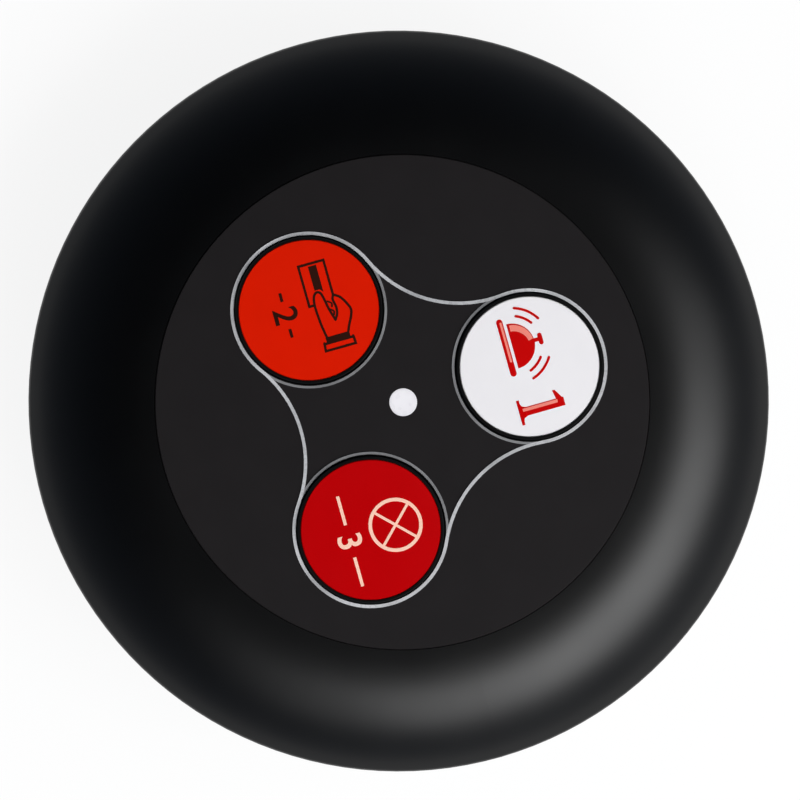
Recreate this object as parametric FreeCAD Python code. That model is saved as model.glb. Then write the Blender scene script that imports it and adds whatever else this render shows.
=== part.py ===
import FreeCAD, Part
import math
import os

# Waiter call button: a round table-top transmitter with three flat keys, in millimetres.
# Origin at the centre of the circle that the feet stand on, +Z up out of the front panel,
# +Y towards the call key, which is the top of the legends' reading direction.

Vector = FreeCAD.Vector
UP = Vector(0, 0, 1)
CENTRE = Vector(0, 0, 0)
QUARTER_TURN = 90.0
FULL_TURN = 360.0

# Outline
overall_d = 86.0
shoulder_tilt = 45.0
rim_edge_r = 0.9
wall = 2.0
joint_gap = 0.4
skirt_edge_break = 0.25

# Front panel
panel_d = 56.34
panel_t = 1.0
panel_gap = 0.05
panel_edge_break = 0.12
adhesive_t = 0.15
adhesive_inset = 0.6
deck_t = 1.8

# Keys, evenly spaced round the panel from the first one's angle
key_names = ("call", "bill", "cancel")
key_first_angle = 90.0
key_pitch_r = 14.95
key_d = 16.7
key_well_gap = 0.15
key_proud = 0.5
key_edge_break = 0.12
key_stem_l = 0.63
key_web_t = 1.4
key_skirt_t = 1.2
key_flange_out = 0.95
key_flange_t = 1.0
key_stop_gap = 0.05
key_travel = 0.35
key_stem_d = 4.0
key_rim_w = 0.34
face_t = 0.8
face_gap = 0.03
face_sunk = 0.12
face_edge_break = 0.08
collar_gap = 0.25
collar_t = 1.05
collar_reach = 0.45
turn_tab_w = 1.6
turn_tab_out = 1.0
turn_tab_gap = 0.2

# Silver lines on the panel
line_w = 0.37
line_t = 0.12
line_well_gap = 0.04
arc_line_w = 0.28
waist_r = 12.05

# Lamp window
window_d = 3.16
window_gap = 0.02
window_collar_d = 5.2
window_collar_t = 0.8
window_led_gap = 0.15

# Base housing
base_underside_z = 1.0
base_floor_t = 2.0
base_rim_z = 12.6
base_tuck = 6.5
base_edge_r = 0.8
tongue_gap = 0.15
tongue_t = 1.45
tongue_h = 1.8
tongue_edge_break = 0.3

# Gasket
gasket_inset = 0.6
gasket_side_gap = 0.1

# Circuit board
board_side_gap = 0.5
board_t = 1.6
board_lift = 0.3
board_hole_gap = 0.2
board_screw_inset = 6.0
board_screw_angles = (30.0, 150.0, 270.0)
board_boss_d = 4.6

# Tact switches
switch_size = 6.0
switch_body_h = 3.2
switch_corner = 0.5
switch_floor = 1.1
switch_well_d = 5.0
cover_t = 0.3
cover_clip_w = 2.0
cover_clip_t = 0.25
cover_clip_h = 2.2
plunger_d = 3.4
plunger_end_proud = 0.45
plunger_side_gap = 0.15
plunger_flange_t = 0.75
plunger_nub_d = 1.6
plunger_slack = 0.1
contact_gap = 0.05
dome_side_gap = 0.2
dome_end_rise = 0.3
dome_t = 0.1
terminal_w = 0.7
terminal_t = 0.3
terminal_h = 1.0
terminal_reach = 1.3
terminal_pitch = 4.5

# Status lamp, chip and other parts on the board
led_size = (3.5, 2.8, 0.9)
led_lens_d = 2.4
led_lens_h = 0.15
chip_size = (4.9, 3.9, 1.5)
chip_boss_gap = 3.7
chip_lift = 0.1
chip_pin_pitch = 1.27
chip_pins_per_side = 4
chip_lead_w = 0.42
chip_lead_t = 0.2
chip_lead_reach = 1.05
chip_lead_h = 0.75
resonator_size = (5.0, 3.8, 1.5)
resonator_boss_gap = 1.8
resonator_angle = 30.0
resonator_lid_inset = 0.4
resonator_lid_t = 0.15
transistor_size = (2.9, 1.3, 1.0)
transistor_boss_gap = 4.9
transistor_angle = 150.0
transistor_leg = (0.45, 0.65, 0.25)
resistor_size = (2.0, 1.25, 0.5)
resistor_count = 6
resistor_pitch_r = 7.0
capacitor_size = (2.0, 1.25, 0.9)
capacitor_count = 4
capacitor_inset = 5.0
capacitor_first_angle = 105.0
capacitor_step = 8.0
antenna_inset = 1.9
antenna_wire_d = 0.8
antenna_lift = 1.3
antenna_post_d = 1.1
antenna_start_angle = 165.0
antenna_open_angle = 30.0

# Battery and its box
cell_d = 10.3
cell_l = 28.5
cell_nub_d = 5.4
cell_nub_l = 1.3
cell_edge_r = 0.4
cell_floor_gap = 0.6
cell_side_gap = 0.25
cell_roof_gap = 0.2
cell_plus_room = 1.75
cell_minus_room = 2.75
box_wall = 1.2
box_roof_t = 1.0

# Battery contacts
contact_t = 0.4
contact_w = 6.0
contact_h = 7.0
contact_touch_gap = 0.1
contact_pad_d = 4.0
tail_w = 1.5
tail_above_board = 0.8
tail_slot_gap = 0.3
leaf_w = 4.0
leaf_drop = 2.9
leaf_wall_gap = 0.3

# Battery door
door_ledge = 1.6
door_t = 1.6
door_gap = 0.2
door_latch_gap = 0.25
door_edge_break = 0.2
hinge_gap = 0.15
hinge_pin_d = 1.0
hinge_pin_reach = 0.9
hinge_pin_gap = 0.05
hinge_pin_end_gap = 0.15
finger_t = 0.7
finger_w = 4.0
finger_h = 1.3
rib_l = 20.0
rib_w = 1.0
rib_y = 2.6
rib_gap = 0.15
grip_count = 4
grip_w = 0.8
grip_l = 7.0
grip_pitch = 1.7
grip_depth = 0.35
grip_first = 3.0
nail_scoop_r = 5.0
nail_scoop_depth = 0.9

# Housing screws
case_screw_inset = 12.0
case_screw_angles = (90.0, 210.0, 330.0)
case_screw_d = 2.5
case_screw_l = 12.0
case_screw_head_d = 4.6
case_screw_head_h = 1.8
case_screw_recess = 2.8
case_screw_head_gap = 0.4
case_hole_gap = 0.2
case_pilot_gap = 0.05
case_post_d = 7.2
case_post_grip = 2.6
case_boss_d = 6.0
case_boss_gap = 0.1
pilot_end_gap = 0.8

# Board screws
board_screw_d = 1.8
board_screw_l = 4.6
board_screw_head_d = 3.6
board_screw_head_h = 1.2
board_pilot_gap = 0.05
cross_w = 0.5
cross_share_of_head = 0.6
cross_depth = 0.7

# Feet
foot_inset = 13.0
foot_angles = (30.0, 150.0, 270.0)
foot_d = 8.0
foot_pocket = 0.6
foot_pocket_gap = 0.1
foot_edge_r = 0.25

# Radii that follow from the sizes above
body_r = overall_d / 2
recess_r = panel_d / 2 + panel_gap
skirt_in_r = body_r - wall
base_flat_r = body_r - base_tuck
case_screw_pitch_r = body_r - case_screw_inset
foot_pitch_r = body_r - foot_inset
board_r = case_screw_pitch_r - case_boss_d / 2 - board_side_gap
antenna_r = board_r - antenna_inset
board_screw_pitch_r = board_r - board_screw_inset
board_boss_in_r = board_screw_pitch_r - board_boss_d / 2
capacitor_pitch_r = board_r - capacitor_inset
resonator_pitch_r = board_boss_in_r - resonator_boss_gap - resonator_size[1] / 2
transistor_half_w = transistor_size[1] / 2 + transistor_leg[1]
transistor_pitch_r = board_boss_in_r - transistor_boss_gap - transistor_half_w
chip_y = -(board_boss_in_r - chip_boss_gap - chip_lead_reach - chip_size[1] / 2)
key_step = FULL_TURN / len(key_names)
key_layout = [(name, key_first_angle + index * key_step) for index, name in enumerate(key_names)]
key_r = key_d / 2
well_r = key_r + key_well_gap
pocket_r = key_r - key_rim_w
face_r = pocket_r - face_gap
key_skirt_in_r = key_r - key_skirt_t
flange_r = key_r + key_flange_out
collar_in_r = flange_r + collar_gap
collar_out_r = collar_in_r + collar_t
line_mid_r = well_r + line_well_gap + line_w / 2
plunger_flange_r = switch_well_d / 2 - plunger_side_gap
cover_hole_d = plunger_d + 2 * plunger_side_gap
dome_r = switch_well_d / 2 - dome_side_gap
cell_r = cell_d / 2

# Plan of the battery box
box_l = cell_l + cell_plus_room + cell_minus_room
box_half_l = box_l / 2
box_half_w = cell_r + cell_side_gap
cell_plus_x = box_half_l - cell_plus_room
cell_minus_x = cell_plus_x - cell_l
opening_half_l = box_half_l - door_ledge
hinge_knuckle_r = base_floor_t / 2
hinge_x = opening_half_l - hinge_gap - hinge_knuckle_r

# Heights, stacked from the floor up: door, cell, board, switch, key, panel
floor_top_z = base_underside_z + base_floor_t
hinge_z = base_underside_z + hinge_knuckle_r
door_inner_z = base_underside_z + door_t
cell_axis_z = door_inner_z + cell_floor_gap + cell_r
contact_low_z = cell_axis_z - contact_h / 2
contact_high_z = cell_axis_z + contact_h / 2
box_ceiling_z = cell_axis_z + cell_r + cell_roof_gap
box_top_z = box_ceiling_z + box_roof_t
board_bottom_z = box_top_z + board_lift
board_top_z = board_bottom_z + board_t
well_floor_z = board_top_z + switch_floor
dome_top_z = well_floor_z + dome_end_rise + key_travel
switch_top_z = board_top_z + switch_body_h
cover_top_z = switch_top_z + cover_t
plunger_top_z = cover_top_z + plunger_end_proud + key_travel
key_stem_bottom_z = plunger_top_z + contact_gap
key_web_bottom_z = key_stem_bottom_z + key_stem_l
face_bottom_z = key_web_bottom_z + key_web_t
face_top_z = face_bottom_z + face_t
key_top_z = face_top_z + face_sunk
panel_top_z = key_top_z - key_proud
recess_floor_z = panel_top_z - panel_t - adhesive_t
deck_bottom_z = recess_floor_z - deck_t
flange_top_z = deck_bottom_z - key_stop_gap
flange_bottom_z = flange_top_z - key_flange_t
collar_bottom_z = flange_bottom_z - key_travel - collar_reach
case_screw_seat_z = base_underside_z + case_screw_recess
case_post_top_z = case_screw_seat_z + case_post_grip

# The shoulder: an arc from level at the panel to its tilt near the rim
skirt_bottom_z = base_rim_z + joint_gap
tilt = math.radians(shoulder_tilt)
shoulder_end_r = body_r - rim_edge_r * (1 - math.sin(tilt))
shoulder_r = (shoulder_end_r - recess_r) / math.sin(tilt)
shoulder_centre_z = panel_top_z - shoulder_r
shoulder_end_z = shoulder_centre_z + shoulder_r * math.cos(tilt)
rim_centre_z = shoulder_end_z - rim_edge_r * math.cos(tilt)


def place(radius, angle, z=0.0):
    """Point at a radius and an angle in degrees round the vertical axis."""
    turn = math.radians(angle)
    return Vector(radius * math.cos(turn), radius * math.sin(turn), z)


def cylinder(diameter, low, high, at=CENTRE):
    """Upright cylinder between two heights."""
    return Part.makeCylinder(diameter / 2, high - low, Vector(at.x, at.y, low), UP)


def ring(outer_r, inner_r, low, high, at=CENTRE):
    """Upright tube between two heights."""
    return cylinder(2 * outer_r, low, high, at).cut(cylinder(2 * inner_r, low, high, at))


def block(x, y, z):
    """Box between pairs of limits along X, Y and Z."""
    return Part.makeBox(x[1] - x[0], y[1] - y[0], z[1] - z[0], Vector(x[0], y[0], z[0]))


def middle_block(length, width, z, at=CENTRE):
    """Box centred on a point in plan, between two heights."""
    x = (at.x - length / 2, at.x + length / 2)
    y = (at.y - width / 2, at.y + width / 2)
    return block(x, y, z)


def turned(shape, angle, at=CENTRE):
    """Copy of a shape turned about the vertical line through a point."""
    copy = shape.copy()
    copy.rotate(at, UP, angle)
    return copy


def moved(shape, by):
    """Copy of a shape moved by a vector."""
    copy = shape.copy()
    copy.translate(by)
    return copy


def cross_bar(diameter, half_length, x, z):
    """Round bar along Y, centred on the middle plane."""
    return Part.makeCylinder(diameter / 2, 2 * half_length, Vector(x, -half_length, z), Vector(0, 1, 0))


def radial(radius, z):
    """Point of a section that is turned about the vertical axis."""
    return Vector(radius, 0, z)


def arc(start, middle, end):
    """Arc edge through three points."""
    return Part.Arc(start, middle, end).toShape()


def spun(edges, at=CENTRE):
    """Solid turned from a closed chain of section edges."""
    face = Part.Face(Part.Wire(Part.__sortEdges__(edges)))
    return moved(face.revolve(CENTRE, UP, FULL_TURN), at)


def spun_polygon(points, at=CENTRE):
    """Solid turned from section corners given as radius and height."""
    corners = [radial(r, z) for r, z in points]
    closed = corners + corners[:1]
    return spun([Part.makeLine(a, b) for a, b in zip(closed, closed[1:])], at)


def joined(shapes):
    """One solid made of several that meet."""
    whole = shapes[0].multiFuse(shapes[1:]) if len(shapes) > 1 else shapes[0]
    return whole.removeSplitter()


def carved(shape, tools):
    """A solid with several tools cut out of it."""
    return shape.cut(Part.makeCompound(tools)).removeSplitter()


def arc_on_circle(centre, radius, start, end):
    """Arc edge of a circle in the section plane, between angles in degrees from +X."""
    points = []
    for angle in (start, (start + end) / 2, end):
        turn = math.radians(angle)
        points.append(centre + Vector(radius * math.cos(turn), 0, radius * math.sin(turn)))
    return arc(points[0], points[1], points[2])


def key_centre(angle, z=0.0):
    """Centre of the key that lies at an angle round the panel."""
    return place(key_pitch_r, angle, z)


def top_housing():
    """Convex ring, deck, wells, collars, bosses and skirt in one moulding."""
    shoulder_centre = radial(recess_r, shoulder_centre_z)
    inner_r = shoulder_r - wall
    deck_angle = math.degrees(math.asin((deck_bottom_z - shoulder_centre_z) / inner_r))
    skirt_angle = math.degrees(math.acos((skirt_in_r - recess_r) / inner_r))
    inner_arc = arc_on_circle(shoulder_centre, inner_r, deck_angle, skirt_angle)
    deck_end = inner_arc.Vertexes[0].Point
    skirt_start = inner_arc.Vertexes[-1].Point
    rim_centre = radial(body_r - rim_edge_r, rim_centre_z)
    shoulder_arc = arc_on_circle(shoulder_centre, shoulder_r, QUARTER_TURN - shoulder_tilt, QUARTER_TURN)
    rim_arc = arc_on_circle(rim_centre, rim_edge_r, 0.0, QUARTER_TURN - shoulder_tilt)
    chain = [
        radial(skirt_in_r, skirt_bottom_z),
        radial(body_r - skirt_edge_break, skirt_bottom_z),
        radial(body_r, skirt_bottom_z + skirt_edge_break),
        radial(body_r, rim_centre_z),
    ]
    recess = [
        radial(recess_r, panel_top_z),
        radial(recess_r, recess_floor_z),
        radial(0, recess_floor_z),
        radial(0, deck_bottom_z),
        deck_end,
    ]
    edges = [inner_arc, Part.makeLine(skirt_start, chain[0])]
    edges += [Part.makeLine(a, b) for a, b in zip(chain, chain[1:])]
    edges += [rim_arc, shoulder_arc]
    edges += [Part.makeLine(a, b) for a, b in zip(recess, recess[1:])]
    shell = spun(edges)

    added = [shell]
    removed = []
    sunk = deck_t / 2
    for name, angle in key_layout:
        centre = key_centre(angle)
        added.append(ring(collar_out_r, collar_in_r, collar_bottom_z, deck_bottom_z + sunk, centre))
        removed.append(cylinder(2 * well_r, collar_bottom_z, panel_top_z, centre))
        slot_x = (key_pitch_r + flange_r, key_pitch_r + collar_out_r + collar_gap)
        slot_half = turn_tab_w / 2 + turn_tab_gap
        slot = block(slot_x, (-slot_half, slot_half), (collar_bottom_z, deck_bottom_z))
        removed.append(turned(slot, angle))
    for angle in board_screw_angles:
        centre = place(board_screw_pitch_r, angle)
        added.append(cylinder(board_boss_d, board_top_z, deck_bottom_z + sunk, centre))
        pilot_top = board_bottom_z + board_screw_l + board_hole_gap
        pilot_d = board_screw_d + 2 * board_pilot_gap
        removed.append(cylinder(pilot_d, board_top_z, pilot_top, centre))
    for angle in case_screw_angles:
        centre = place(case_screw_pitch_r, angle)
        boss_bottom = case_post_top_z + case_boss_gap
        added.append(cylinder(case_boss_d, boss_bottom, deck_bottom_z + sunk, centre))
        pilot_top = case_screw_seat_z + case_screw_l + pilot_end_gap
        pilot_d = case_screw_d + 2 * case_pilot_gap
        removed.append(cylinder(pilot_d, boss_bottom, pilot_top, centre))
    removed.append(cylinder(window_d + 2 * window_gap, deck_bottom_z, panel_top_z))
    return carved(joined(added), removed)


def front_panel():
    """Flat disc that lies in the recess of the top housing."""
    bottom = recess_floor_z + adhesive_t
    r = panel_d / 2
    disc = spun_polygon([
        (0, bottom),
        (r, bottom),
        (r, panel_top_z - panel_edge_break),
        (r - panel_edge_break, panel_top_z),
        (0, panel_top_z),
    ])
    holes = [cylinder(2 * well_r, bottom, panel_top_z, key_centre(angle)) for name, angle in key_layout]
    holes.append(cylinder(window_d + 2 * window_gap, bottom, panel_top_z))
    return carved(disc, holes)


def panel_adhesive():
    """Thin film that holds the panel on the deck, drawn back from every edge."""
    top = recess_floor_z + adhesive_t
    film = cylinder(panel_d - 2 * adhesive_inset, recess_floor_z, top)
    hole_d = 2 * (well_r + adhesive_inset)
    holes = [cylinder(hole_d, recess_floor_z, top, key_centre(angle)) for name, angle in key_layout]
    holes.append(cylinder(window_d + 2 * adhesive_inset, recess_floor_z, top))
    return carved(film, holes)


def trefoil_face(offset):
    """Flat region inside the trefoil, its outline moved outwards by an offset."""
    reach = line_mid_r - waist_r
    key_share = key_pitch_r * math.cos(math.radians(key_step / 2))
    hollow_pitch = (key_pitch_r ** 2 - reach ** 2) / (2 * (key_share + reach))
    hollow_r = hollow_pitch - waist_r - offset
    lobe_r = line_mid_r + offset
    edges = []
    for name, angle in key_layout:
        centre = key_centre(angle)
        before = place(hollow_pitch, angle - key_step / 2)
        after = place(hollow_pitch, angle + key_step / 2)
        touch_before = centre + (before - centre).normalize() * lobe_r
        touch_after = centre + (after - centre).normalize() * lobe_r
        tip = place(key_pitch_r + lobe_r, angle)
        edges.append(arc(touch_before, tip, touch_after))
        next_centre = key_centre(angle + key_step)
        next_touch = next_centre + (after - next_centre).normalize() * lobe_r
        waist = place(hollow_pitch - hollow_r, angle + key_step / 2)
        edges.append(arc(touch_after, waist, next_touch))
    return Part.Face(Part.Wire(Part.__sortEdges__(edges)))


def trefoil_outline():
    """Bright line of one width that runs once round all three keys."""
    band = trefoil_face(line_w / 2).cut(trefoil_face(-line_w / 2))
    return moved(band.extrude(Vector(0, 0, line_t)), Vector(0, 0, panel_top_z)).removeSplitter()


def key_line_arcs(outline):
    """Thinner arcs that close each key's circle on its inner side."""
    outer = line_mid_r + arc_line_w / 2
    inner = line_mid_r - arc_line_w / 2
    arcs = []
    for name, angle in key_layout:
        circle = ring(outer, inner, panel_top_z, panel_top_z + line_t, key_centre(angle))
        rest = circle.cut(outline)
        arcs.append(max(rest.Solids, key=lambda solid: solid.Volume))
    return arcs


def key_body(angle):
    """Black moulded key: rim, pocket for the face, web, stem, skirt, stop flange and turn tab."""
    centre = key_centre(angle)
    body = spun_polygon([
        (0, key_stem_bottom_z),
        (key_stem_d / 2, key_stem_bottom_z),
        (key_stem_d / 2, key_web_bottom_z),
        (key_skirt_in_r, key_web_bottom_z),
        (key_skirt_in_r, flange_bottom_z),
        (flange_r, flange_bottom_z),
        (flange_r, flange_top_z),
        (key_r, flange_top_z),
        (key_r, key_top_z - key_edge_break),
        (key_r - key_edge_break, key_top_z),
        (pocket_r, key_top_z),
        (pocket_r, face_bottom_z),
        (0, face_bottom_z),
    ], centre)
    tab_x = (key_pitch_r + key_r, key_pitch_r + flange_r + turn_tab_out)
    tab_y = (-turn_tab_w / 2, turn_tab_w / 2)
    tab = turned(block(tab_x, tab_y, (flange_bottom_z, flange_top_z)), angle)
    return joined([body, tab])


def key_face(angle):
    """Coloured disc that lies in the key's pocket."""
    return spun_polygon([
        (0, face_bottom_z),
        (face_r, face_bottom_z),
        (face_r, face_top_z - face_edge_break),
        (face_r - face_edge_break, face_top_z),
        (0, face_top_z),
    ], key_centre(angle))


def led_window():
    """White light pipe with a collar that stops it against the deck."""
    led_top = board_top_z + led_size[2] + led_lens_h
    return spun_polygon([
        (0, led_top + window_led_gap),
        (window_d / 2, led_top + window_led_gap),
        (window_d / 2, deck_bottom_z - window_collar_t),
        (window_collar_d / 2, deck_bottom_z - window_collar_t),
        (window_collar_d / 2, deck_bottom_z),
        (window_d / 2, deck_bottom_z),
        (window_d / 2, panel_top_z),
        (0, panel_top_z),
    ])


def base_housing():
    """Bowl-shaped base: floor, wall, tongue, battery box, screw posts and foot pockets."""
    rise = base_rim_z - base_underside_z
    bowl_r = (base_tuck ** 2 + rise ** 2) / (2 * base_tuck)
    bowl_centre = radial(body_r - bowl_r, base_rim_z)
    foot_angle = -math.degrees(math.asin(rise / bowl_r))
    inner_r = bowl_r - wall
    floor_angle = -math.degrees(math.asin((base_rim_z - floor_top_z) / inner_r))
    tongue_out_r = skirt_in_r - tongue_gap
    tongue_in_r = tongue_out_r - tongue_t
    tongue_angle = -math.degrees(math.acos((tongue_in_r - bowl_centre.x) / inner_r))
    outer_arc = arc_on_circle(bowl_centre, bowl_r, foot_angle, 0.0)
    inner_arc = arc_on_circle(bowl_centre, inner_r, floor_angle, tongue_angle)
    outer_start = outer_arc.Vertexes[0].Point
    floor_edge = inner_arc.Vertexes[0].Point
    tongue_foot = inner_arc.Vertexes[-1].Point
    tongue_top_z = base_rim_z + tongue_h
    rim = [
        radial(body_r, base_rim_z),
        radial(tongue_out_r, base_rim_z),
        radial(tongue_out_r, tongue_top_z - tongue_edge_break),
        radial(tongue_out_r - tongue_edge_break, tongue_top_z),
        radial(tongue_in_r, tongue_top_z),
        tongue_foot,
    ]
    floor = [
        floor_edge,
        radial(0, floor_top_z),
        radial(0, base_underside_z),
        outer_start,
    ]
    edges = [outer_arc, inner_arc]
    edges += [Part.makeLine(a, b) for a, b in zip(rim, rim[1:])]
    edges += [Part.makeLine(a, b) for a, b in zip(floor, floor[1:])]
    shell = spun(edges)
    corner = [edge for edge in shell.Edges if is_circle(edge, base_flat_r, base_underside_z)]
    shell = shell.makeFillet(base_edge_r, corner)

    box_outer_l = box_l + 2 * box_wall
    box_outer_w = 2 * (box_half_w + box_wall)
    added = [shell, middle_block(box_outer_l, box_outer_w, (base_underside_z, box_top_z))]
    removed = [
        middle_block(box_l, 2 * box_half_w, (floor_top_z, box_ceiling_z)),
        middle_block(2 * opening_half_l, 2 * box_half_w, (base_underside_z, floor_top_z)),
    ]
    for side in (-1, 1):
        removed.append(tail_slot(side, (box_ceiling_z, box_top_z)))
    socket_half_l = box_half_w - door_gap + hinge_pin_reach + hinge_pin_end_gap
    removed.append(cross_bar(hinge_pin_d + 2 * hinge_pin_gap, socket_half_l, hinge_x, hinge_z))
    scoop_z = base_underside_z - nail_scoop_r + nail_scoop_depth
    removed.append(Part.makeSphere(nail_scoop_r, Vector(-opening_half_l, 0, scoop_z)))
    for angle in case_screw_angles:
        centre = place(case_screw_pitch_r, angle)
        added.append(cylinder(case_post_d, base_underside_z, case_post_top_z, centre))
        head_hole_d = case_screw_head_d + 2 * case_screw_head_gap
        removed.append(cylinder(head_hole_d, base_underside_z, case_screw_seat_z, centre))
        shank_hole_d = case_screw_d + 2 * case_hole_gap
        removed.append(cylinder(shank_hole_d, case_screw_seat_z, case_post_top_z, centre))
    for angle in foot_angles:
        centre = place(foot_pitch_r, angle)
        pocket_d = foot_d + 2 * foot_pocket_gap
        removed.append(cylinder(pocket_d, base_underside_z, base_underside_z + foot_pocket, centre))
    return carved(joined(added), removed)


def is_circle(edge, radius, z):
    """True for a round edge of one radius that lies at one height."""
    if not isinstance(edge.Curve, Part.Circle):
        return False
    return math.isclose(edge.Curve.Radius, radius) and math.isclose(edge.Curve.Center.z, z)


def tail_slot(side, z):
    """Slot that a contact's tail passes through, at one end of the battery box."""
    middle_x = side * (box_half_l - contact_t / 2)
    return middle_block(contact_t + tail_slot_gap, tail_w + 2 * tail_slot_gap, z, Vector(middle_x, 0, 0))


def housing_gasket():
    """Flat ring squeezed in the joint between the two halves."""
    outer = body_r - gasket_inset
    inner = skirt_in_r + gasket_side_gap
    return ring(outer, inner, base_rim_z, skirt_bottom_z)


def circuit_board():
    """Round board with screw holes and slots for the battery tails."""
    disc = cylinder(2 * board_r, board_bottom_z, board_top_z)
    z = (board_bottom_z, board_top_z)
    holes = [tail_slot(side, z) for side in (-1, 1)]
    for angle in board_screw_angles:
        hole_d = board_screw_d + 2 * board_hole_gap
        holes.append(cylinder(hole_d, z[0], z[1], place(board_screw_pitch_r, angle)))
    return carved(disc, holes)


def switch_body(angle):
    """Square moulded case of a tact switch, open at the top for its dome and plunger."""
    centre = key_centre(angle)
    case = middle_block(switch_size, switch_size, (board_top_z, switch_top_z), centre)
    upright = [edge for edge in case.Edges if abs(edge.tangentAt(edge.FirstParameter).z) > 0.5]
    case = case.makeChamfer(switch_corner, upright)
    return case.cut(cylinder(switch_well_d, well_floor_z, switch_top_z, centre))


def switch_cover(angle):
    """Pressed metal cover with two clips over the sides of the case."""
    centre = key_centre(angle)
    plate = middle_block(switch_size, switch_size, (switch_top_z, cover_top_z), centre)
    pieces = [plate]
    for side in (-1, 1):
        clip_at = centre + Vector(0, side * (switch_size + cover_clip_t) / 2, 0)
        clip_z = (cover_top_z - cover_clip_h, cover_top_z)
        pieces.append(middle_block(cover_clip_w, cover_clip_t, clip_z, clip_at))
    return carved(joined(pieces), [cylinder(cover_hole_d, switch_top_z, cover_top_z, centre)])


def switch_terminals(angle):
    """Four soldered feet of one switch."""
    centre = key_centre(angle)
    feet = []
    for side_x in (-1, 1):
        for side_y in (-1, 1):
            middle_y = centre.y + side_y * terminal_pitch / 2
            y = (middle_y - terminal_w / 2, middle_y + terminal_w / 2)
            near = centre.x + side_x * switch_size / 2
            bend = near + side_x * terminal_t
            far = near + side_x * terminal_reach
            upright = block(sorted((near, bend)), y, (board_top_z, board_top_z + terminal_h))
            foot = block(sorted((near, far)), y, (board_top_z, board_top_z + terminal_t))
            feet.append(joined([upright, foot]))
    return feet


def switch_plunger(angle):
    """Round actuator, held under the cover by its flange, with a nub that presses the dome."""
    flange_top = switch_top_z - plunger_slack
    flange_bottom = flange_top - plunger_flange_t
    nub_bottom = dome_top_z + contact_gap
    return spun_polygon([
        (0, nub_bottom),
        (plunger_nub_d / 2, nub_bottom),
        (plunger_nub_d / 2, flange_bottom),
        (plunger_flange_r, flange_bottom),
        (plunger_flange_r, flange_top),
        (plunger_d / 2, flange_top),
        (plunger_d / 2, plunger_top_z),
        (0, plunger_top_z),
    ], key_centre(angle))


def snap_dome(angle):
    """Thin sprung cap that lies on the floor of the switch."""
    outer = (radial(dome_r, well_floor_z), radial(0, dome_top_z))
    inner = (radial(dome_r - dome_t, well_floor_z), radial(0, dome_top_z - dome_t))
    curves = []
    for rim, crown in (outer, inner):
        rise = crown.z - rim.z
        sphere_r = (rim.x ** 2 + rise ** 2) / (2 * rise)
        half_turn = math.asin(rim.x / sphere_r) / 2
        middle_z = crown.z - sphere_r * (1 - math.cos(half_turn))
        curves.append(arc(rim, radial(sphere_r * math.sin(half_turn), middle_z), crown))
    edges = curves + [Part.makeLine(outer[0], inner[0]), Part.makeLine(outer[1], inner[1])]
    return spun(edges, key_centre(angle))


def status_led():
    """Surface-mounted lamp under the window, with a low round lens."""
    case_top = board_top_z + led_size[2]
    case = middle_block(led_size[0], led_size[1], (board_top_z, case_top))
    lens = cylinder(led_lens_d, board_top_z, case_top + led_lens_h)
    return joined([case, lens])


def encoder_chip():
    """Moulded chip case with a bevelled upper edge."""
    low = board_top_z + chip_lift
    case = middle_block(chip_size[0], chip_size[1], (low, low + chip_size[2]), Vector(0, chip_y, 0))
    top_edges = [edge for edge in case.Edges if math.isclose(edge.CenterOfMass.z, low + chip_size[2])]
    return case.makeChamfer(chip_lead_t, top_edges)


def chip_leads():
    """Two rows of bent leads beside the chip."""
    leads = []
    first = -(chip_pins_per_side - 1) * chip_pin_pitch / 2
    for side in (-1, 1):
        near = chip_y + side * chip_size[1] / 2
        bend = near + side * 2 * chip_lead_t
        far = near + side * chip_lead_reach
        for index in range(chip_pins_per_side):
            middle_x = first + index * chip_pin_pitch
            x = (middle_x - chip_lead_w / 2, middle_x + chip_lead_w / 2)
            upright = block(x, sorted((near, bend)), (board_top_z, board_top_z + chip_lead_h))
            foot = block(x, sorted((near, far)), (board_top_z, board_top_z + chip_lead_t))
            leads.append(joined([upright, foot]))
    return leads


def board_part(size, at, angle):
    """Small block soldered on the board at a point, turned to an angle."""
    part = middle_block(size[0], size[1], (board_top_z, board_top_z + size[2]))
    return moved(turned(part, angle), at)


def saw_resonator():
    """Ceramic case with a thin metal lid."""
    length, width, height = resonator_size
    case = middle_block(length, width, (board_top_z, board_top_z + height))
    lid_z = (board_top_z, board_top_z + height + resonator_lid_t)
    lid_l = length - 2 * resonator_lid_inset
    lid_w = width - 2 * resonator_lid_inset
    whole = joined([case, middle_block(lid_l, lid_w, lid_z)])
    at = place(resonator_pitch_r, resonator_angle)
    return moved(turned(whole, resonator_angle + QUARTER_TURN), at)


def rf_transistor():
    """Small moulded case with two legs on one side and one on the other."""
    length, width, height = transistor_size
    case = middle_block(length, width, (board_top_z, board_top_z + height))
    leg_w, leg_reach, leg_t = transistor_leg
    pieces = [case]
    for x, side in ((-length / 3, -1), (length / 3, -1), (0, 1)):
        leg_at = Vector(x, side * (width + leg_reach) / 2, 0)
        pieces.append(middle_block(leg_w, leg_reach, (board_top_z, board_top_z + leg_t), leg_at))
    whole = joined(pieces)
    at = place(transistor_pitch_r, transistor_angle)
    return moved(turned(whole, transistor_angle + QUARTER_TURN), at)


def chip_resistors():
    """Flat resistors on a circle round the lamp."""
    step = FULL_TURN / resistor_count
    parts = []
    for index in range(resistor_count):
        angle = index * step
        parts.append(board_part(resistor_size, place(resistor_pitch_r, angle), angle + QUARTER_TURN))
    return parts


def chip_capacitors():
    """Capacitors side by side near the edge of the board."""
    parts = []
    for index in range(capacitor_count):
        angle = capacitor_first_angle + index * capacitor_step
        parts.append(board_part(capacitor_size, place(capacitor_pitch_r, angle), angle))
    return parts


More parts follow.
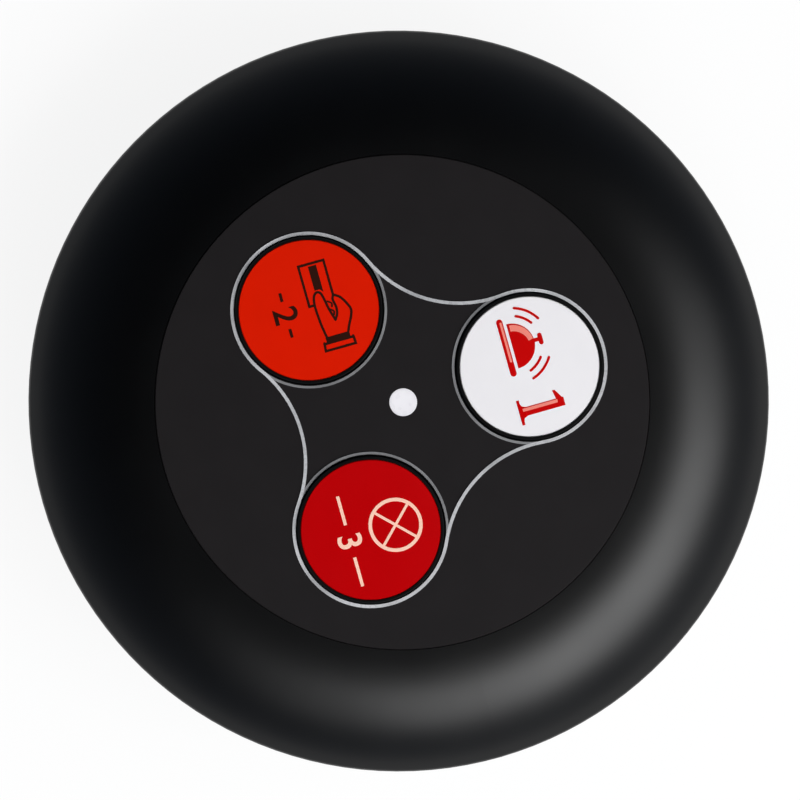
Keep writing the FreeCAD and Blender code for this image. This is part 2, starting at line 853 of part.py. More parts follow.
def antenna_wire():
    """Wire bent round the board, standing on a post at each end."""
    wire_z = board_top_z + antenna_lift
    span = FULL_TURN - antenna_open_angle
    loop = Part.makeTorus(antenna_r, antenna_wire_d / 2, CENTRE, UP, -FULL_TURN / 2, FULL_TURN / 2, span)
    loop = moved(turned(loop, antenna_start_angle), Vector(0, 0, wire_z))
    post_top = wire_z + antenna_wire_d / 2 + antenna_wire_d / 4
    ends = (antenna_start_angle, antenna_start_angle + span)
    posts = [cylinder(antenna_post_d, board_top_z, post_top, place(antenna_r, angle)) for angle in ends]
    return joined([loop] + posts)


def battery():
    """Round 12 V cell that lies along X, its plus end towards +X."""
    can_l = cell_l - cell_nub_l
    start = Vector(cell_minus_x, 0, cell_axis_z)
    along = Vector(1, 0, 0)
    can = Part.makeCylinder(cell_r, can_l, start, along)
    can = can.makeFillet(cell_edge_r, [edge for edge in can.Edges if isinstance(edge.Curve, Part.Circle)])
    nub = Part.makeCylinder(cell_nub_d / 2, cell_l - cell_edge_r, start + along * cell_edge_r, along)
    return joined([can, nub])


def contact_tail(side):
    """Strip that runs from a contact up through the roof of the box and the board."""
    middle_x = side * (box_half_l - contact_t / 2)
    z = (contact_high_z - contact_t, board_top_z + tail_above_board)
    return middle_block(contact_t, tail_w, z, Vector(middle_x, 0, 0))


def contact_back(side):
    """Plate that lies flat on an end wall of the battery box."""
    middle_x = side * (box_half_l - contact_t / 2)
    return middle_block(contact_t, contact_w, (contact_low_z, contact_high_z), Vector(middle_x, 0, 0))


def battery_plate_contact():
    """Plus contact: plate with a raised round pad."""
    touch_x = cell_plus_x + contact_touch_gap
    pad_l = box_half_l - contact_t / 2 - touch_x
    pad = Part.makeCylinder(contact_pad_d / 2, pad_l, Vector(touch_x, 0, cell_axis_z), Vector(1, 0, 0))
    return joined([contact_back(1), pad, contact_tail(1)])


def strip(points, thickness, width):
    """Sheet strip along corner points of the XZ plane, with round bends."""
    pieces = []
    for start, end in zip(points, points[1:]):
        along = end - start
        length = along.Length
        bar = Part.makeBox(length, width, thickness, Vector(0, -width / 2, -thickness / 2))
        pitch = -math.degrees(math.atan2(along.z, along.x))
        bar.rotate(CENTRE, Vector(0, 1, 0), pitch)
        pieces.append(moved(bar, start))
    for corner in points[1:-1]:
        bend = Part.makeCylinder(thickness / 2, width, corner - Vector(0, width / 2, 0), Vector(0, 1, 0))
        pieces.append(bend)
    return joined(pieces)


def battery_leaf_contact():
    """Minus contact: plate with a leaf that bows out to the cell."""
    wall_x = -(box_half_l - contact_t / 2)
    crown_x = cell_minus_x - contact_touch_gap - contact_t / 2
    foot_x = -(box_half_l - contact_t - leaf_wall_gap - contact_t / 2)
    leaf = strip([
        Vector(wall_x, 0, contact_high_z - contact_t / 2),
        Vector(crown_x, 0, cell_axis_z),
        Vector(foot_x, 0, cell_axis_z - leaf_drop),
    ], contact_t, leaf_w)
    return joined([contact_back(-1), leaf, contact_tail(-1)])


def battery_door():
    """Flush door with a round hinge edge and pins, a snap finger, cradle ribs and a ridged grip."""
    half_w = box_half_w - door_gap
    x = (-opening_half_l + door_latch_gap, hinge_x)
    plate = block(x, (-half_w, half_w), (base_underside_z, door_inner_z))
    free_edge = [edge for edge in plate.Edges if is_door_edge(edge, x)]
    plate = plate.makeChamfer(door_edge_break, free_edge)
    knuckle = cross_bar(2 * hinge_knuckle_r, half_w, hinge_x, hinge_z)
    pins = cross_bar(hinge_pin_d, half_w + hinge_pin_reach, hinge_x, hinge_z)
    added = [plate, knuckle, pins]
    rib_inner_y = rib_y - rib_w / 2
    rib_top = cell_axis_z - math.sqrt(cell_r ** 2 - rib_inner_y ** 2) - rib_gap
    for side in (-1, 1):
        rib_limits = sorted((side * rib_inner_y, side * (rib_inner_y + rib_w)))
        added.append(block((-rib_l / 2, rib_l / 2), rib_limits, (base_underside_z + door_t / 2, rib_top)))
    finger_z = (base_underside_z + door_t / 2, door_inner_z + finger_h)
    added.append(block((x[0], x[0] + finger_t), (-finger_w / 2, finger_w / 2), finger_z))
    grooves = []
    for index in range(grip_count):
        groove_at = Vector(x[0] + grip_first + index * grip_pitch, 0, 0)
        groove_z = (base_underside_z, base_underside_z + grip_depth)
        grooves.append(middle_block(grip_w, grip_l, groove_z, groove_at))
    return carved(joined(added), grooves)


def is_door_edge(edge, x):
    """True for the outer edge of the door plate at its free end."""
    middle = edge.CenterOfMass
    return math.isclose(middle.z, base_underside_z) and math.isclose(middle.x, x[0])


def screw(diameter, length, head_d, head_h):
    """Cross-head screw that points up, its head's seat at height zero."""
    head = cylinder(head_d, -head_h, 0)
    rim = [edge for edge in head.Edges if is_circle(edge, head_d / 2, -head_h)]
    head = head.makeFillet(head_h / 3, rim)
    tip_l = diameter / 2
    shank = spun_polygon([
        (0, -head_h / 2),
        (diameter / 2, -head_h / 2),
        (diameter / 2, length - tip_l),
        (diameter / 5, length),
        (0, length),
    ])
    cross_l = head_d * cross_share_of_head
    z = (-head_h, -head_h + cross_depth)
    cross = joined([middle_block(cross_l, cross_w, z), middle_block(cross_w, cross_l, z)])
    return carved(joined([head, shank]), [cross])


def housing_screws():
    """Three screws that hold the base to the top housing."""
    one = screw(case_screw_d, case_screw_l, case_screw_head_d, case_screw_head_h)
    return [moved(one, place(case_screw_pitch_r, angle, case_screw_seat_z)) for angle in case_screw_angles]


def board_screws():
    """Three screws that hold the board to the top housing."""
    one = screw(board_screw_d, board_screw_l, board_screw_head_d, board_screw_head_h)
    return [moved(one, place(board_screw_pitch_r, angle, board_bottom_z)) for angle in board_screw_angles]


def rubber_feet():
    """Three round feet glued in the pockets of the base."""
    feet = []
    for angle in foot_angles:
        foot = cylinder(foot_d, 0, base_underside_z + foot_pocket, place(foot_pitch_r, angle))
        rim = [edge for edge in foot.Edges if is_circle(edge, foot_d / 2, 0)]
        feet.append(foot.makeFillet(foot_edge_r, rim))
    return feet


def save(name, shapes):
    """Write one node as a STEP file of one solid or a group of solids."""
    solids = []
    for shape in shapes:
        solids += shape.Solids
    for solid in solids:
        if not solid.isValid() or solid.Volume <= 0:
            raise ValueError(name + " is not a sound solid")
    whole = solids[0] if len(solids) == 1 else Part.makeCompound(solids)
    whole.exportStep(os.path.join("parts", name + ".step"))
    print(name, len(solids), "solid(s)", round(sum(solid.Volume for solid in solids), 2), "mm3")


def main():
    """Build every node and write it."""
    os.makedirs("parts", exist_ok=True)
    outline = trefoil_outline()
    save("top_housing", [top_housing()])
    save("front_panel", [front_panel()])
    save("panel_adhesive", [panel_adhesive()])
    save("trefoil_outline", [outline])
    save("key_line_arcs", key_line_arcs(outline))
    for name, angle in key_layout:
        save(name + "_key", [key_body(angle)])
        save(name + "_key_face", [key_face(angle)])
        save(name + "_plunger", [switch_plunger(angle)])
        save(name + "_dome", [snap_dome(angle)])
    angles = [angle for name, angle in key_layout]
    save("switch_bodies", [switch_body(angle) for angle in angles])
    save("switch_covers", [switch_cover(angle) for angle in angles])
    save("switch_terminals", [foot for angle in angles for foot in switch_terminals(angle)])
    save("led_window", [led_window()])
    save("status_led", [status_led()])
    save("circuit_board", [circuit_board()])
    save("encoder_chip", [encoder_chip()])
    save("chip_leads", chip_leads())
    save("saw_resonator", [saw_resonator()])
    save("rf_transistor", [rf_transistor()])
    save("chip_resistors", chip_resistors())
    save("chip_capacitors", chip_capacitors())
    save("antenna_wire", [antenna_wire()])
    save("battery", [battery()])
    save("battery_leaf_contact", [battery_leaf_contact()])
    save("battery_plate_contact", [battery_plate_contact()])
    save("battery_door", [battery_door()])
    save("base_housing", [base_housing()])
    save("housing_gasket", [housing_gasket()])
    save("housing_screws", housing_screws())
    save("board_screws", board_screws())
    save("rubber_feet", rubber_feet())


main()
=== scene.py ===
"""Looks of a round waiter call button: finishes, printed key legends, floor, lights and camera."""
import logging
import math
from dataclasses import dataclass, field
from enum import Enum
from typing import Sequence

import bpy
from mathutils import Matrix, Vector


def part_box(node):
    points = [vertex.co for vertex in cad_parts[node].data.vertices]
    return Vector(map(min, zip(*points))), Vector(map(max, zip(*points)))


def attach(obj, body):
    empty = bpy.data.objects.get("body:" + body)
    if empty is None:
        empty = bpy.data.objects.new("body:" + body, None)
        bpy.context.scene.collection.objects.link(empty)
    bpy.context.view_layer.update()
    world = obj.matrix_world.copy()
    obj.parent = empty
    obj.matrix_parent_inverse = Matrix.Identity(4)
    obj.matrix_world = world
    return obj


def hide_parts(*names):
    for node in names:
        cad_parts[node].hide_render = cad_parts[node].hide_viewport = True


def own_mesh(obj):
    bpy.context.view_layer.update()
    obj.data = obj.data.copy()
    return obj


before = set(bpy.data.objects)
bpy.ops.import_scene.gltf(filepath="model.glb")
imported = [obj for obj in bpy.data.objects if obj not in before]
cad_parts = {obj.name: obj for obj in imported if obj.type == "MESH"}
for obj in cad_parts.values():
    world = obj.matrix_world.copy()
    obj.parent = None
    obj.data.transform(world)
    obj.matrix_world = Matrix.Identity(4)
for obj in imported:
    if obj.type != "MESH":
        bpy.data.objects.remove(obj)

Rgb = tuple[float, float, float]
Point = tuple[float, float]
Socket = bpy.types.NodeSocket

MM = 0.001
PURE_WHITE = (1.0, 1.0, 1.0, 1.0)
EVEN = (1.0, 1.0, 1.0)
SAME_POINT = 1e-7
SMOOTH_BELOW = math.radians(40)
LOG = logging.getLogger("call_button")


class Legend(Enum):
    """Printed sign on a key."""

    BELL = "bell"
    CARD_IN_HAND = "card in hand"
    CROSSED_CIRCLE = "crossed circle"


def light_of(part: float) -> float:
    """Turn one channel of a written screen colour into light."""
    return part / 12.92 if part <= 0.04045 else ((part + 0.055) / 1.055) ** 2.4


def linear(code: str) -> Rgb:
    """Turn a written screen colour into the light values that a shader takes.

    Args:
        code: Six hexadecimal digits, red, green and blue.

    Returns:
        The three light values, from 0 to 1.
    """
    red, green, blue = [light_of(int(code[index : index + 2], 16) / 255) for index in (0, 2, 4)]
    return red, green, blue


def scaled(colour: Rgb, share: float) -> Rgb:
    """Return a colour made lighter or darker by one share."""
    return tuple(min(part * share, 1.0) for part in colour)


class Graph:
    """Shader nodes of one material or of the world, added one at a time."""

    noise_middle: Point = (0.3, 0.7)
    noise_core: Point = (0.35, 0.65)

    def __init__(self, owner: bpy.types.ID, end: str = "ShaderNodeOutputMaterial") -> None:
        """Clear the owner's nodes and give it an output.

        Args:
            owner: The material or the world.
            end: Blender's name of the output node's type.
        """
        owner.use_nodes = True
        self.owner = owner
        self.tree = owner.node_tree
        self.tree.nodes.clear()
        self.output = self.tree.nodes.new(end)

    def add(self, kind: str, sockets: dict | None = None, **settings: object) -> bpy.types.Node:
        """Add a node.

        Args:
            kind: Blender's name of the node type.
            sockets: Values or other nodes' outputs by the input's name or number.
            **settings: Properties of the node itself.

        Returns:
            The new node.
        """
        node = self.tree.nodes.new(kind)
        for name, value in settings.items():
            setattr(node, name, value)
        for name, value in (sockets or {}).items():
            if isinstance(value, Socket):
                self.tree.links.new(value, node.inputs[name])
            else:
                node.inputs[name].default_value = value
        return node

    def place(self) -> Socket:
        """Return the point on the piece, in metres."""
        return self.add("ShaderNodeTexCoord").outputs["Object"]

    def noise(self, size: float, layers: float = 2.0, stretch: Rgb = EVEN) -> Socket:
        """Return soft random mottling.

        Args:
            size: Distance between its spots, in metres.
            layers: Number of finer layers.
            stretch: Factors on the pattern's frequency along X, Y and Z.

        Returns:
            A value about one half.
        """
        mapping = self.add("ShaderNodeMapping", {"Vector": self.place(), "Scale": stretch})
        sockets = {"Vector": mapping.outputs["Vector"], "Scale": 1 / size, "Detail": layers}
        return self.add("ShaderNodeTexNoise", sockets).outputs["Fac"]

    def spread(self, value: Socket, source: Point, target: Point) -> Socket:
        """Turn one range of a value into another, held at both ends.

        Args:
            value: The value.
            source: Two numbers that the value runs between.
            target: What these two become.

        Returns:
            The new value.
        """
        return self.add("ShaderNodeMapRange", {
            "Value": value,
            "From Min": source[0],
            "From Max": source[1],
            "To Min": target[0],
            "To Max": target[1],
        }).outputs["Result"]

    def ranged(self, value: Socket, low: float, high: float) -> Socket:
        """Spread the middle of a noise between two numbers."""
        return self.spread(value, self.noise_middle, (low, high))

    def mixed(self, value: Socket, first: Rgb, second: Rgb, span: Point = noise_core) -> Socket:
        """Run from one colour to another with a value.

        Args:
            value: The value.
            first: Colour up to the start of the span.
            second: Colour from the end of the span.
            span: Where the colours run into each other.

        Returns:
            The colour.
        """
        ramp = self.add("ShaderNodeValToRGB", {"Fac": value})
        for stop, position, colour in zip(ramp.color_ramp.elements, span, (first, second)):
            stop.position = position
            stop.color = (*colour, 1.0)
        return ramp.outputs["Color"]

    def mottled(self, spots: Socket, colour: Rgb, share: float) -> Socket:
        """Make a colour darker and lighter by one share with a noise."""
        return self.mixed(spots, scaled(colour, 1 - share), scaled(colour, 1 + share))

    def bump(self, height: Socket, depth: float) -> Socket:
        """Turn a height into a relief of a real depth."""
        sockets = {"Height": height, "Distance": depth, "Strength": 1.0}
        return self.add("ShaderNodeBump", sockets).outputs["Normal"]

    def combined(self, operation: str, first: Socket, second: Socket) -> Socket:
        """Work out one value from two."""
        return self.add("ShaderNodeMath", {0: first, 1: second}, operation=operation).outputs["Value"]

    def blended(self, share: Socket, first: Socket, second: Socket) -> Socket:
        """Run from one surface to another with a share."""
        return self.add("ShaderNodeMixShader", {0: share, 1: first, 2: second}).outputs["Shader"]

    def background_ray(self) -> Socket:
        """Tell which rays show the background.

        Returns:
            1 for what the camera sees straight on, in gloss or through glass, otherwise 0.
        """
        path = self.add("ShaderNodeLightPath").outputs
        rays = path["Is Camera Ray"]
        for name in ("Is Glossy Ray", "Is Transmission Ray"):
            rays = self.combined("MAXIMUM", rays, path[name])
        return rays

    def close(self, surface: Socket) -> None:
        """Lead a surface to the output."""
        self.tree.links.new(surface, self.output.inputs["Surface"])

    def finish(self, sockets: dict) -> bpy.types.Material:
        """Close the material with one surface shader and return it."""
        self.close(self.add("ShaderNodeBsdfPrincipled", sockets).outputs["BSDF"])
        return self.owner


@dataclass(frozen=True)
class Finish:
    """What every finish has. Lengths in all finishes are in metres.

    Attributes:
        name: Name of the material.
        colour: Its middle colour.
        roughness: Its middle roughness.
    """

    name: str
    colour: Rgb
    roughness: float

    def graph(self) -> Graph:
        """Start the finish's own material."""
        return Graph(bpy.data.materials.new(self.name))

    def material(self) -> bpy.types.Material:
        """Build the finish, each kind in its own way."""
        raise NotImplementedError


@dataclass(frozen=True)
class Plastic(Finish):
    """Moulded or printed plastic: a colour with faint mottling, uneven gloss and a fine grain.

    Attributes:
        level: Strength of its gloss.
        mottle: Share by which the colour strays either way.
        polish: How far the roughness strays either way.
        grain: Distance between grains.
        depth: Depth of the grain.
        spot: Distance between spots of the mottling.
        spot_layers: Finer layers in the mottling.
        smear: Distance between duller smears.
        smear_layers: Finer layers in the smears.
    """

    level: float = 0.5
    mottle: float = 0.04
    polish: float = 0.03
    grain: float = 0.0002
    depth: float = 0.000001
    spot: float = 0.004
    spot_layers: float = 3.0
    smear: float = 0.009
    smear_layers: float = 4.0

    def material(self) -> bpy.types.Material:
        """Build the finish.

        Returns:
            The new material.
        """
        graph = self.graph()
        spots = graph.noise(self.spot, self.spot_layers)
        smears = graph.noise(self.smear, self.smear_layers)
        return graph.finish({
            "Base Color": graph.mottled(spots, self.colour, self.mottle),
            "Roughness": graph.ranged(smears, self.roughness - self.polish, self.roughness + self.polish),
            "Specular IOR Level": self.level,
            "Normal": graph.bump(graph.noise(self.grain), self.depth),
        })


@dataclass(frozen=True)
class Metal(Finish):
    """Bare, plated or printed metal with a fine grain, drawn out along one axis where it is brushed.

    Attributes:
        metallic: 1 for bare metal, less for metallic print.
        brush: Factors on the grain's frequency along X, Y and Z.
        line: Distance between its lines.
        depth: Depth of the lines.
        mottle: Share by which the colour strays either way.
        line_layers: Finer layers in the grain.
        spot: Distance between spots of the mottling.
        spot_layers: Finer layers in the mottling.
        smoother: How far the roughness falls.
        rougher: How far the roughness rises.
    """

    metallic: float = 1.0
    brush: Rgb = (1.0, 12.0, 12.0)
    line: float = 0.0006
    depth: float = 0.0000006
    mottle: float = 0.08
    line_layers: float = 3.0
    spot: float = 0.006
    spot_layers: float = 3.0
    smoother: float = 0.06
    rougher: float = 0.08

    def material(self) -> bpy.types.Material:
        """Build the finish.

        Returns:
            The new material.
        """
        graph = self.graph()
        lines = graph.noise(self.line, self.line_layers, self.brush)
        spots = graph.noise(self.spot, self.spot_layers)
        return graph.finish({
            "Base Color": graph.mottled(spots, self.colour, self.mottle),
            "Metallic": self.metallic,
            "Roughness": graph.ranged(lines, self.roughness - self.smoother, self.roughness + self.rougher),
            "Normal": graph.bump(lines, self.depth),
        })


@dataclass(frozen=True)
class Diffuser(Finish):
    """Milky plastic that scatters light inside itself.

    Attributes:
        scatter: How far light travels inside.
        scattered: Share of the light that goes inside.
        darkest: Darkest share of the colour.
        lightest: Lightest share of the colour.
        cloud: Distance between clouds in the colour.
        polish: How far the roughness strays either way.
        smear: Distance between duller smears.
        grain: Distance between grains.
        depth: Depth of the grain.
    """

    scatter: float = 0.0006
    scattered: float = 0.3
    darkest: float = 0.98
    lightest: float = 1.01
    cloud: float = 0.0015
    polish: float = 0.04
    smear: float = 0.0008
    grain: float = 0.00025
    depth: float = 0.0000005

    def material(self) -> bpy.types.Material:
        """Build the finish.

        Returns:
            The new material.
        """
        graph = self.graph()
        clouds = graph.noise(self.cloud)
        smears = graph.noise(self.smear)
        return graph.finish({
            "Base Color": graph.mixed(
                clouds, scaled(self.colour, self.darkest), scaled(self.colour, self.lightest)
            ),
            "Roughness": graph.ranged(smears, self.roughness - self.polish, self.roughness + self.polish),
            "Subsurface Weight": self.scattered,
            "Subsurface Radius": EVEN,
            "Subsurface Scale": self.scatter,
            "Normal": graph.bump(graph.noise(self.grain), self.depth),
        })


@dataclass(frozen=True)
class SolderMask(Finish):
    """Board lacquer, lighter and raised in a random net where copper lies under it.

    Attributes:
        track: Colour over copper.
        cells: Cells of the net in a metre.
        edge: Distance from a cell's middle where its copper edge starts and where it is full.
        polish: How far the roughness strays either way.
        smear: Distance between duller smears.
        rise: Height of the copper.
    """

    track: Rgb
    cells: float = 260.0
    edge: Point = (0.42, 0.5)
    polish: float = 0.05
    smear: float = 0.003
    rise: float = 0.00002

    def material(self) -> bpy.types.Material:
        """Build the finish.

        Returns:
            The new material.
        """
        graph = self.graph()
        sockets = {"Vector": graph.place(), "Scale": self.cells}
        net = graph.add("ShaderNodeTexVoronoi", sockets, distance="MANHATTAN", feature="F1")
        copper = graph.spread(net.outputs["Distance"], self.edge, (0.0, 1.0))
        smears = graph.noise(self.smear)
        return graph.finish({
            "Base Color": graph.mixed(copper, self.colour, self.track, span=(0.0, 1.0)),
            "Roughness": graph.ranged(smears, self.roughness - self.polish, self.roughness + self.polish),
            "Normal": graph.bump(copper, self.rise),
        })


GLOSS_BLACK = Plastic(
    "gloss_black", (0.0003, 0.0003, 0.0004), roughness=0.34, level=0.28,
    mottle=0.2, polish=0.012, grain=0.0012, depth=0.0000003,
)
SATIN_BLACK = Plastic(
    "satin_black", (0.014, 0.014, 0.015), roughness=0.48, level=0.42,
    mottle=0.1, polish=0.06, grain=0.0003, depth=0.000022,
)
SEAL_RUBBER = Plastic(
    "seal_rubber", (0.018, 0.018, 0.018), roughness=0.78, level=0.3,
    mottle=0.1, polish=0.05, grain=0.0004, depth=0.00001,
)
PANEL_BLACK = Plastic(
    "panel_black", (0.0104, 0.009, 0.0095), roughness=0.62, level=0.1,
    mottle=0.05, grain=0.00022, depth=0.000002,
)
KEY_BLACK = Plastic(
    "key_black", (0.003, 0.0027, 0.0026), roughness=0.3, level=0.2, mottle=0.1, grain=0.0003,
)
FACE_WHITE = Plastic(
    "face_white", linear("eeebec"), roughness=0.24, level=0.25,
    mottle=0.006, grain=0.0004, depth=0.0000006,
)
FACE_ORANGE_RED = Plastic(
    "face_orange_red", linear("d91a00"), roughness=0.24, level=0.2,
    mottle=0.012, grain=0.0004, depth=0.0000006,
)
FACE_CRIMSON = Plastic(
    "face_crimson", linear("b80004"), roughness=0.24, level=0.2,
    mottle=0.012, grain=0.0004, depth=0.0000006,
)
INK_RED = Plastic(
    "ink_red", linear("c00000"), roughness=0.28, level=0.2, mottle=0.03, depth=0.0000015,
)
INK_SALMON = Plastic(
    "ink_salmon", linear("f08878"), roughness=0.28, level=0.2, mottle=0.02, depth=0.0000015,
)
INK_DARK = Plastic(
    "ink_dark", linear("2c120a"), roughness=0.28, level=0.15, mottle=0.06, depth=0.0000015,
)
INK_PALE = Plastic(
    "ink_pale", linear("ffccb4"), roughness=0.28, level=0.2, mottle=0.015, depth=0.0000015,
)
SILVER_LINE = Metal(
    "silver_line", (0.53, 0.53, 0.54), roughness=0.28, metallic=0.12,
    brush=EVEN, line=0.0005, depth=0.0000008, mottle=0.22,
)
SILVER_LINE_DIM = Metal(
    "silver_line_dim", (0.24, 0.24, 0.245), roughness=0.42, metallic=0.3,
    brush=EVEN, line=0.0005, depth=0.0000008, mottle=0.15,
)
WINDOW_WHITE = Diffuser("window_white", linear("f5f2f5"), roughness=0.3)
CLEAR_FILM = Plastic("clear_film", (0.55, 0.55, 0.52), roughness=0.35)
PLUNGER_PLASTIC = Plastic("plunger_plastic", (0.03, 0.03, 0.03), roughness=0.45)
SPRING_STEEL = Metal("spring_steel", (0.6, 0.6, 0.58), roughness=0.3)
COMPONENT_BLACK = Plastic(
    "component_black", (0.02, 0.02, 0.02), roughness=0.6, level=0.4,
    mottle=0.1, polish=0.05, grain=0.0001, depth=0.000004,
)
TINNED_STEEL = Metal("tinned_steel", (0.66, 0.66, 0.64), roughness=0.35)
LAMP_LENS = Diffuser("lamp_lens", (0.85, 0.83, 0.7), roughness=0.15)
BOARD_GREEN = SolderMask(
    "board_green", (0.01, 0.09, 0.035), roughness=0.29, track=(0.03, 0.19, 0.07),
)
CERAMIC_GOLD = Metal("ceramic_gold", (0.45, 0.35, 0.15), roughness=0.35)
CERAMIC_TAN = Plastic("ceramic_tan", (0.42, 0.3, 0.18), roughness=0.5)
CELL_JACKET = Plastic(
    "cell_jacket", (0.12, 0.13, 0.15), roughness=0.25, mottle=0.05, grain=0.001, depth=0.000002,
)
NICKEL_BRASS = Metal("nickel_brass", (0.72, 0.62, 0.42), roughness=0.28)
SCREW_STEEL = Metal(
    "screw_steel", (0.45, 0.45, 0.46), roughness=0.32, brush=EVEN, line=0.0003, depth=0.000002,
)
FOOT_RUBBER = Plastic(
    "foot_rubber", (0.022, 0.022, 0.022), roughness=0.85, level=0.25,
    mottle=0.12, polish=0.04, grain=0.0005, depth=0.00001,
)


class Paintbox:
    """Makes each finish once and puts it on pieces."""

    def __init__(self) -> None:
        """Start with no finish made."""
        self.made: dict[str, bpy.types.Material] = {}

    def material(self, finish: Finish) -> bpy.types.Material:
        """Make a finish on its first use.

        Args:
            finish: The finish.

        Returns:
            Its one material.
        """
        if finish.name not in self.made:
            self.made[finish.name] = finish.material()
        return self.made[finish.name]

    def dress(self, piece: bpy.types.Object, finish: Finish) -> None:
        """Put a finish on every slot of a piece.

        Args:
            piece: The piece.
            finish: The finish.
        """
        material = self.material(finish)
        if not piece.material_slots:
            piece.data.materials.append(material)
        for slot in piece.material_slots:
            slot.material = material
        LOG.info("%s: %s", piece.name, finish.name)

    def dress_nodes(self, finish: Finish, names: Sequence[str]) -> None:
        """Put a finish on named parts of the frame."""
        for name in names:
            self.dress(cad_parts[name], finish)


def deselect_all() -> None:
    """Leave object mode with nothing selected."""
    if bpy.context.object and bpy.context.object.mode != "OBJECT":
        bpy.ops.object.mode_set(mode="OBJECT")
    bpy.ops.object.select_all(action="DESELECT")


def pick(piece: bpy.types.Object) -> None:
    """Select one object alone and make it the active one.

    Args:
        piece: The object.
    """
    deselect_all()
    piece.select_set(True)
    bpy.context.view_layer.objects.active = piece


def settle(piece: bpy.types.Object) -> None:
    """Move an object's place into its mesh, so that the object sits unturned at the origin."""
    pick(piece)
    bpy.ops.object.transform_apply(location=True, rotation=True, scale=True)


def apply_modifier(piece: bpy.types.Object, kind: str, **settings: object) -> None:
    """Add a modifier and apply it at once.

    Args:
        piece: The object that it shapes.
        kind: Blender's name of the modifier's type.
        **settings: Its settings.
    """
    modifier = piece.modifiers.new(kind.lower(), kind)
    for name, value in settings.items():
        setattr(modifier, name, value)
    pick(piece)
    bpy.ops.object.modifier_apply(modifier=modifier.name)


def as_mesh(curve: bpy.types.Curve) -> bpy.types.Object:
    """Turn a flat curve or a numeral into the active mesh.

    Args:
        curve: The curve.

    Returns:
        The new object, selected alone.
    """
    piece = bpy.data.objects.new(curve.name, curve)
    bpy.context.scene.collection.objects.link(piece)
    pick(piece)
    bpy.ops.object.convert(target="MESH")
    return piece


def arc_points(x: float, y: float, radius: float, start: float, end: float, steps: int = 24) -> list[Point]:
    """Return points on an arc.

    Args:
        x: Centre of the arc.
        y: Centre of the arc.
        radius: Its radius.
        start: Where it starts, in degrees from +X.
        end: Where it ends, in degrees.
        steps: Stretches between its ends.

    Returns:
        The points from start to end.
    """
    angles = [math.radians(start + (end - start) * step / steps) for step in range(steps + 1)]
    return [(x + radius * math.cos(angle), y + radius * math.sin(angle)) for angle in angles]


def between(before: float, start: float, end: float, after: float, share: float) -> float:
    """Return one coordinate of a smooth path between two of its points.

    Args:
        before: Coordinate of the point before the stretch.
        start: Coordinate where the stretch starts.
        end: Coordinate where it ends.
        after: Coordinate of the point after it.
        share: How far along the stretch, from 0 to 1.

    Returns:
        The coordinate.
    """
    slope = end - before
    bow = 2 * before - 5 * start + 4 * end - after
    swing = 3 * start - before - 3 * end + after
    return 0.5 * (2 * start + slope * share + bow * share ** 2 + swing * share ** 3)


def curved(points: Sequence[Point], steps: int = 8) -> list[Point]:
    """Return a smooth path that passes through points.

    Args:
        points: The points to pass through.
        steps: Stretches between one point and the next.

    Returns:
        The points of the path.
    """
    padded = [points[0], *points, points[-1]]
    path: list[Point] = []
    for four in zip(padded, padded[1:], padded[2:], padded[3:]):
        for step in range(steps):
            path.append(tuple(between(*coordinates, step / steps) for coordinates in zip(*four)))
    path.append(points[-1])
    return path


def around(path: Sequence[Point], reach: float, cap_steps: int = 8) -> list[Point]:
    """Return the closed outline at one distance round an open path, with round ends.

    Args:
        path: Points of the path.
        reach: Distance from the path to its outline.
        cap_steps: Stretches in each round end.

    Returns:
        The outline's points.
    """
    headings = [math.atan2(b[1] - a[1], b[0] - a[0]) for a, b in zip(path, path[1:])]
    sides: dict[int, list[Point]] = {1: [], -1: []}
    for index, (x, y) in enumerate(path):
        before = headings[max(index - 1, 0)]
        after = headings[min(index, len(headings) - 1)]
        turn = math.remainder(after - before, math.tau)
        heading = before + turn / 2
        spread = reach / math.cos(turn / 2)
        for side, found in sides.items():
            angle = heading + side * math.pi / 2
            found.append((x + spread * math.cos(angle), y + spread * math.sin(angle)))
    ends = (
        (path[-1], headings[-1], sides[-1][::-1]),
        (path[0], headings[0] + math.pi, []),
    )
    outline = sides[1]
    for (x, y), heading, way_back in ends:
        for step in range(1, cap_steps):
            angle = heading + math.pi / 2 - math.pi * step / cap_steps
            outline.append((x + reach * math.cos(angle), y + reach * math.sin(angle)))
        outline.extend(way_back)
    return outline


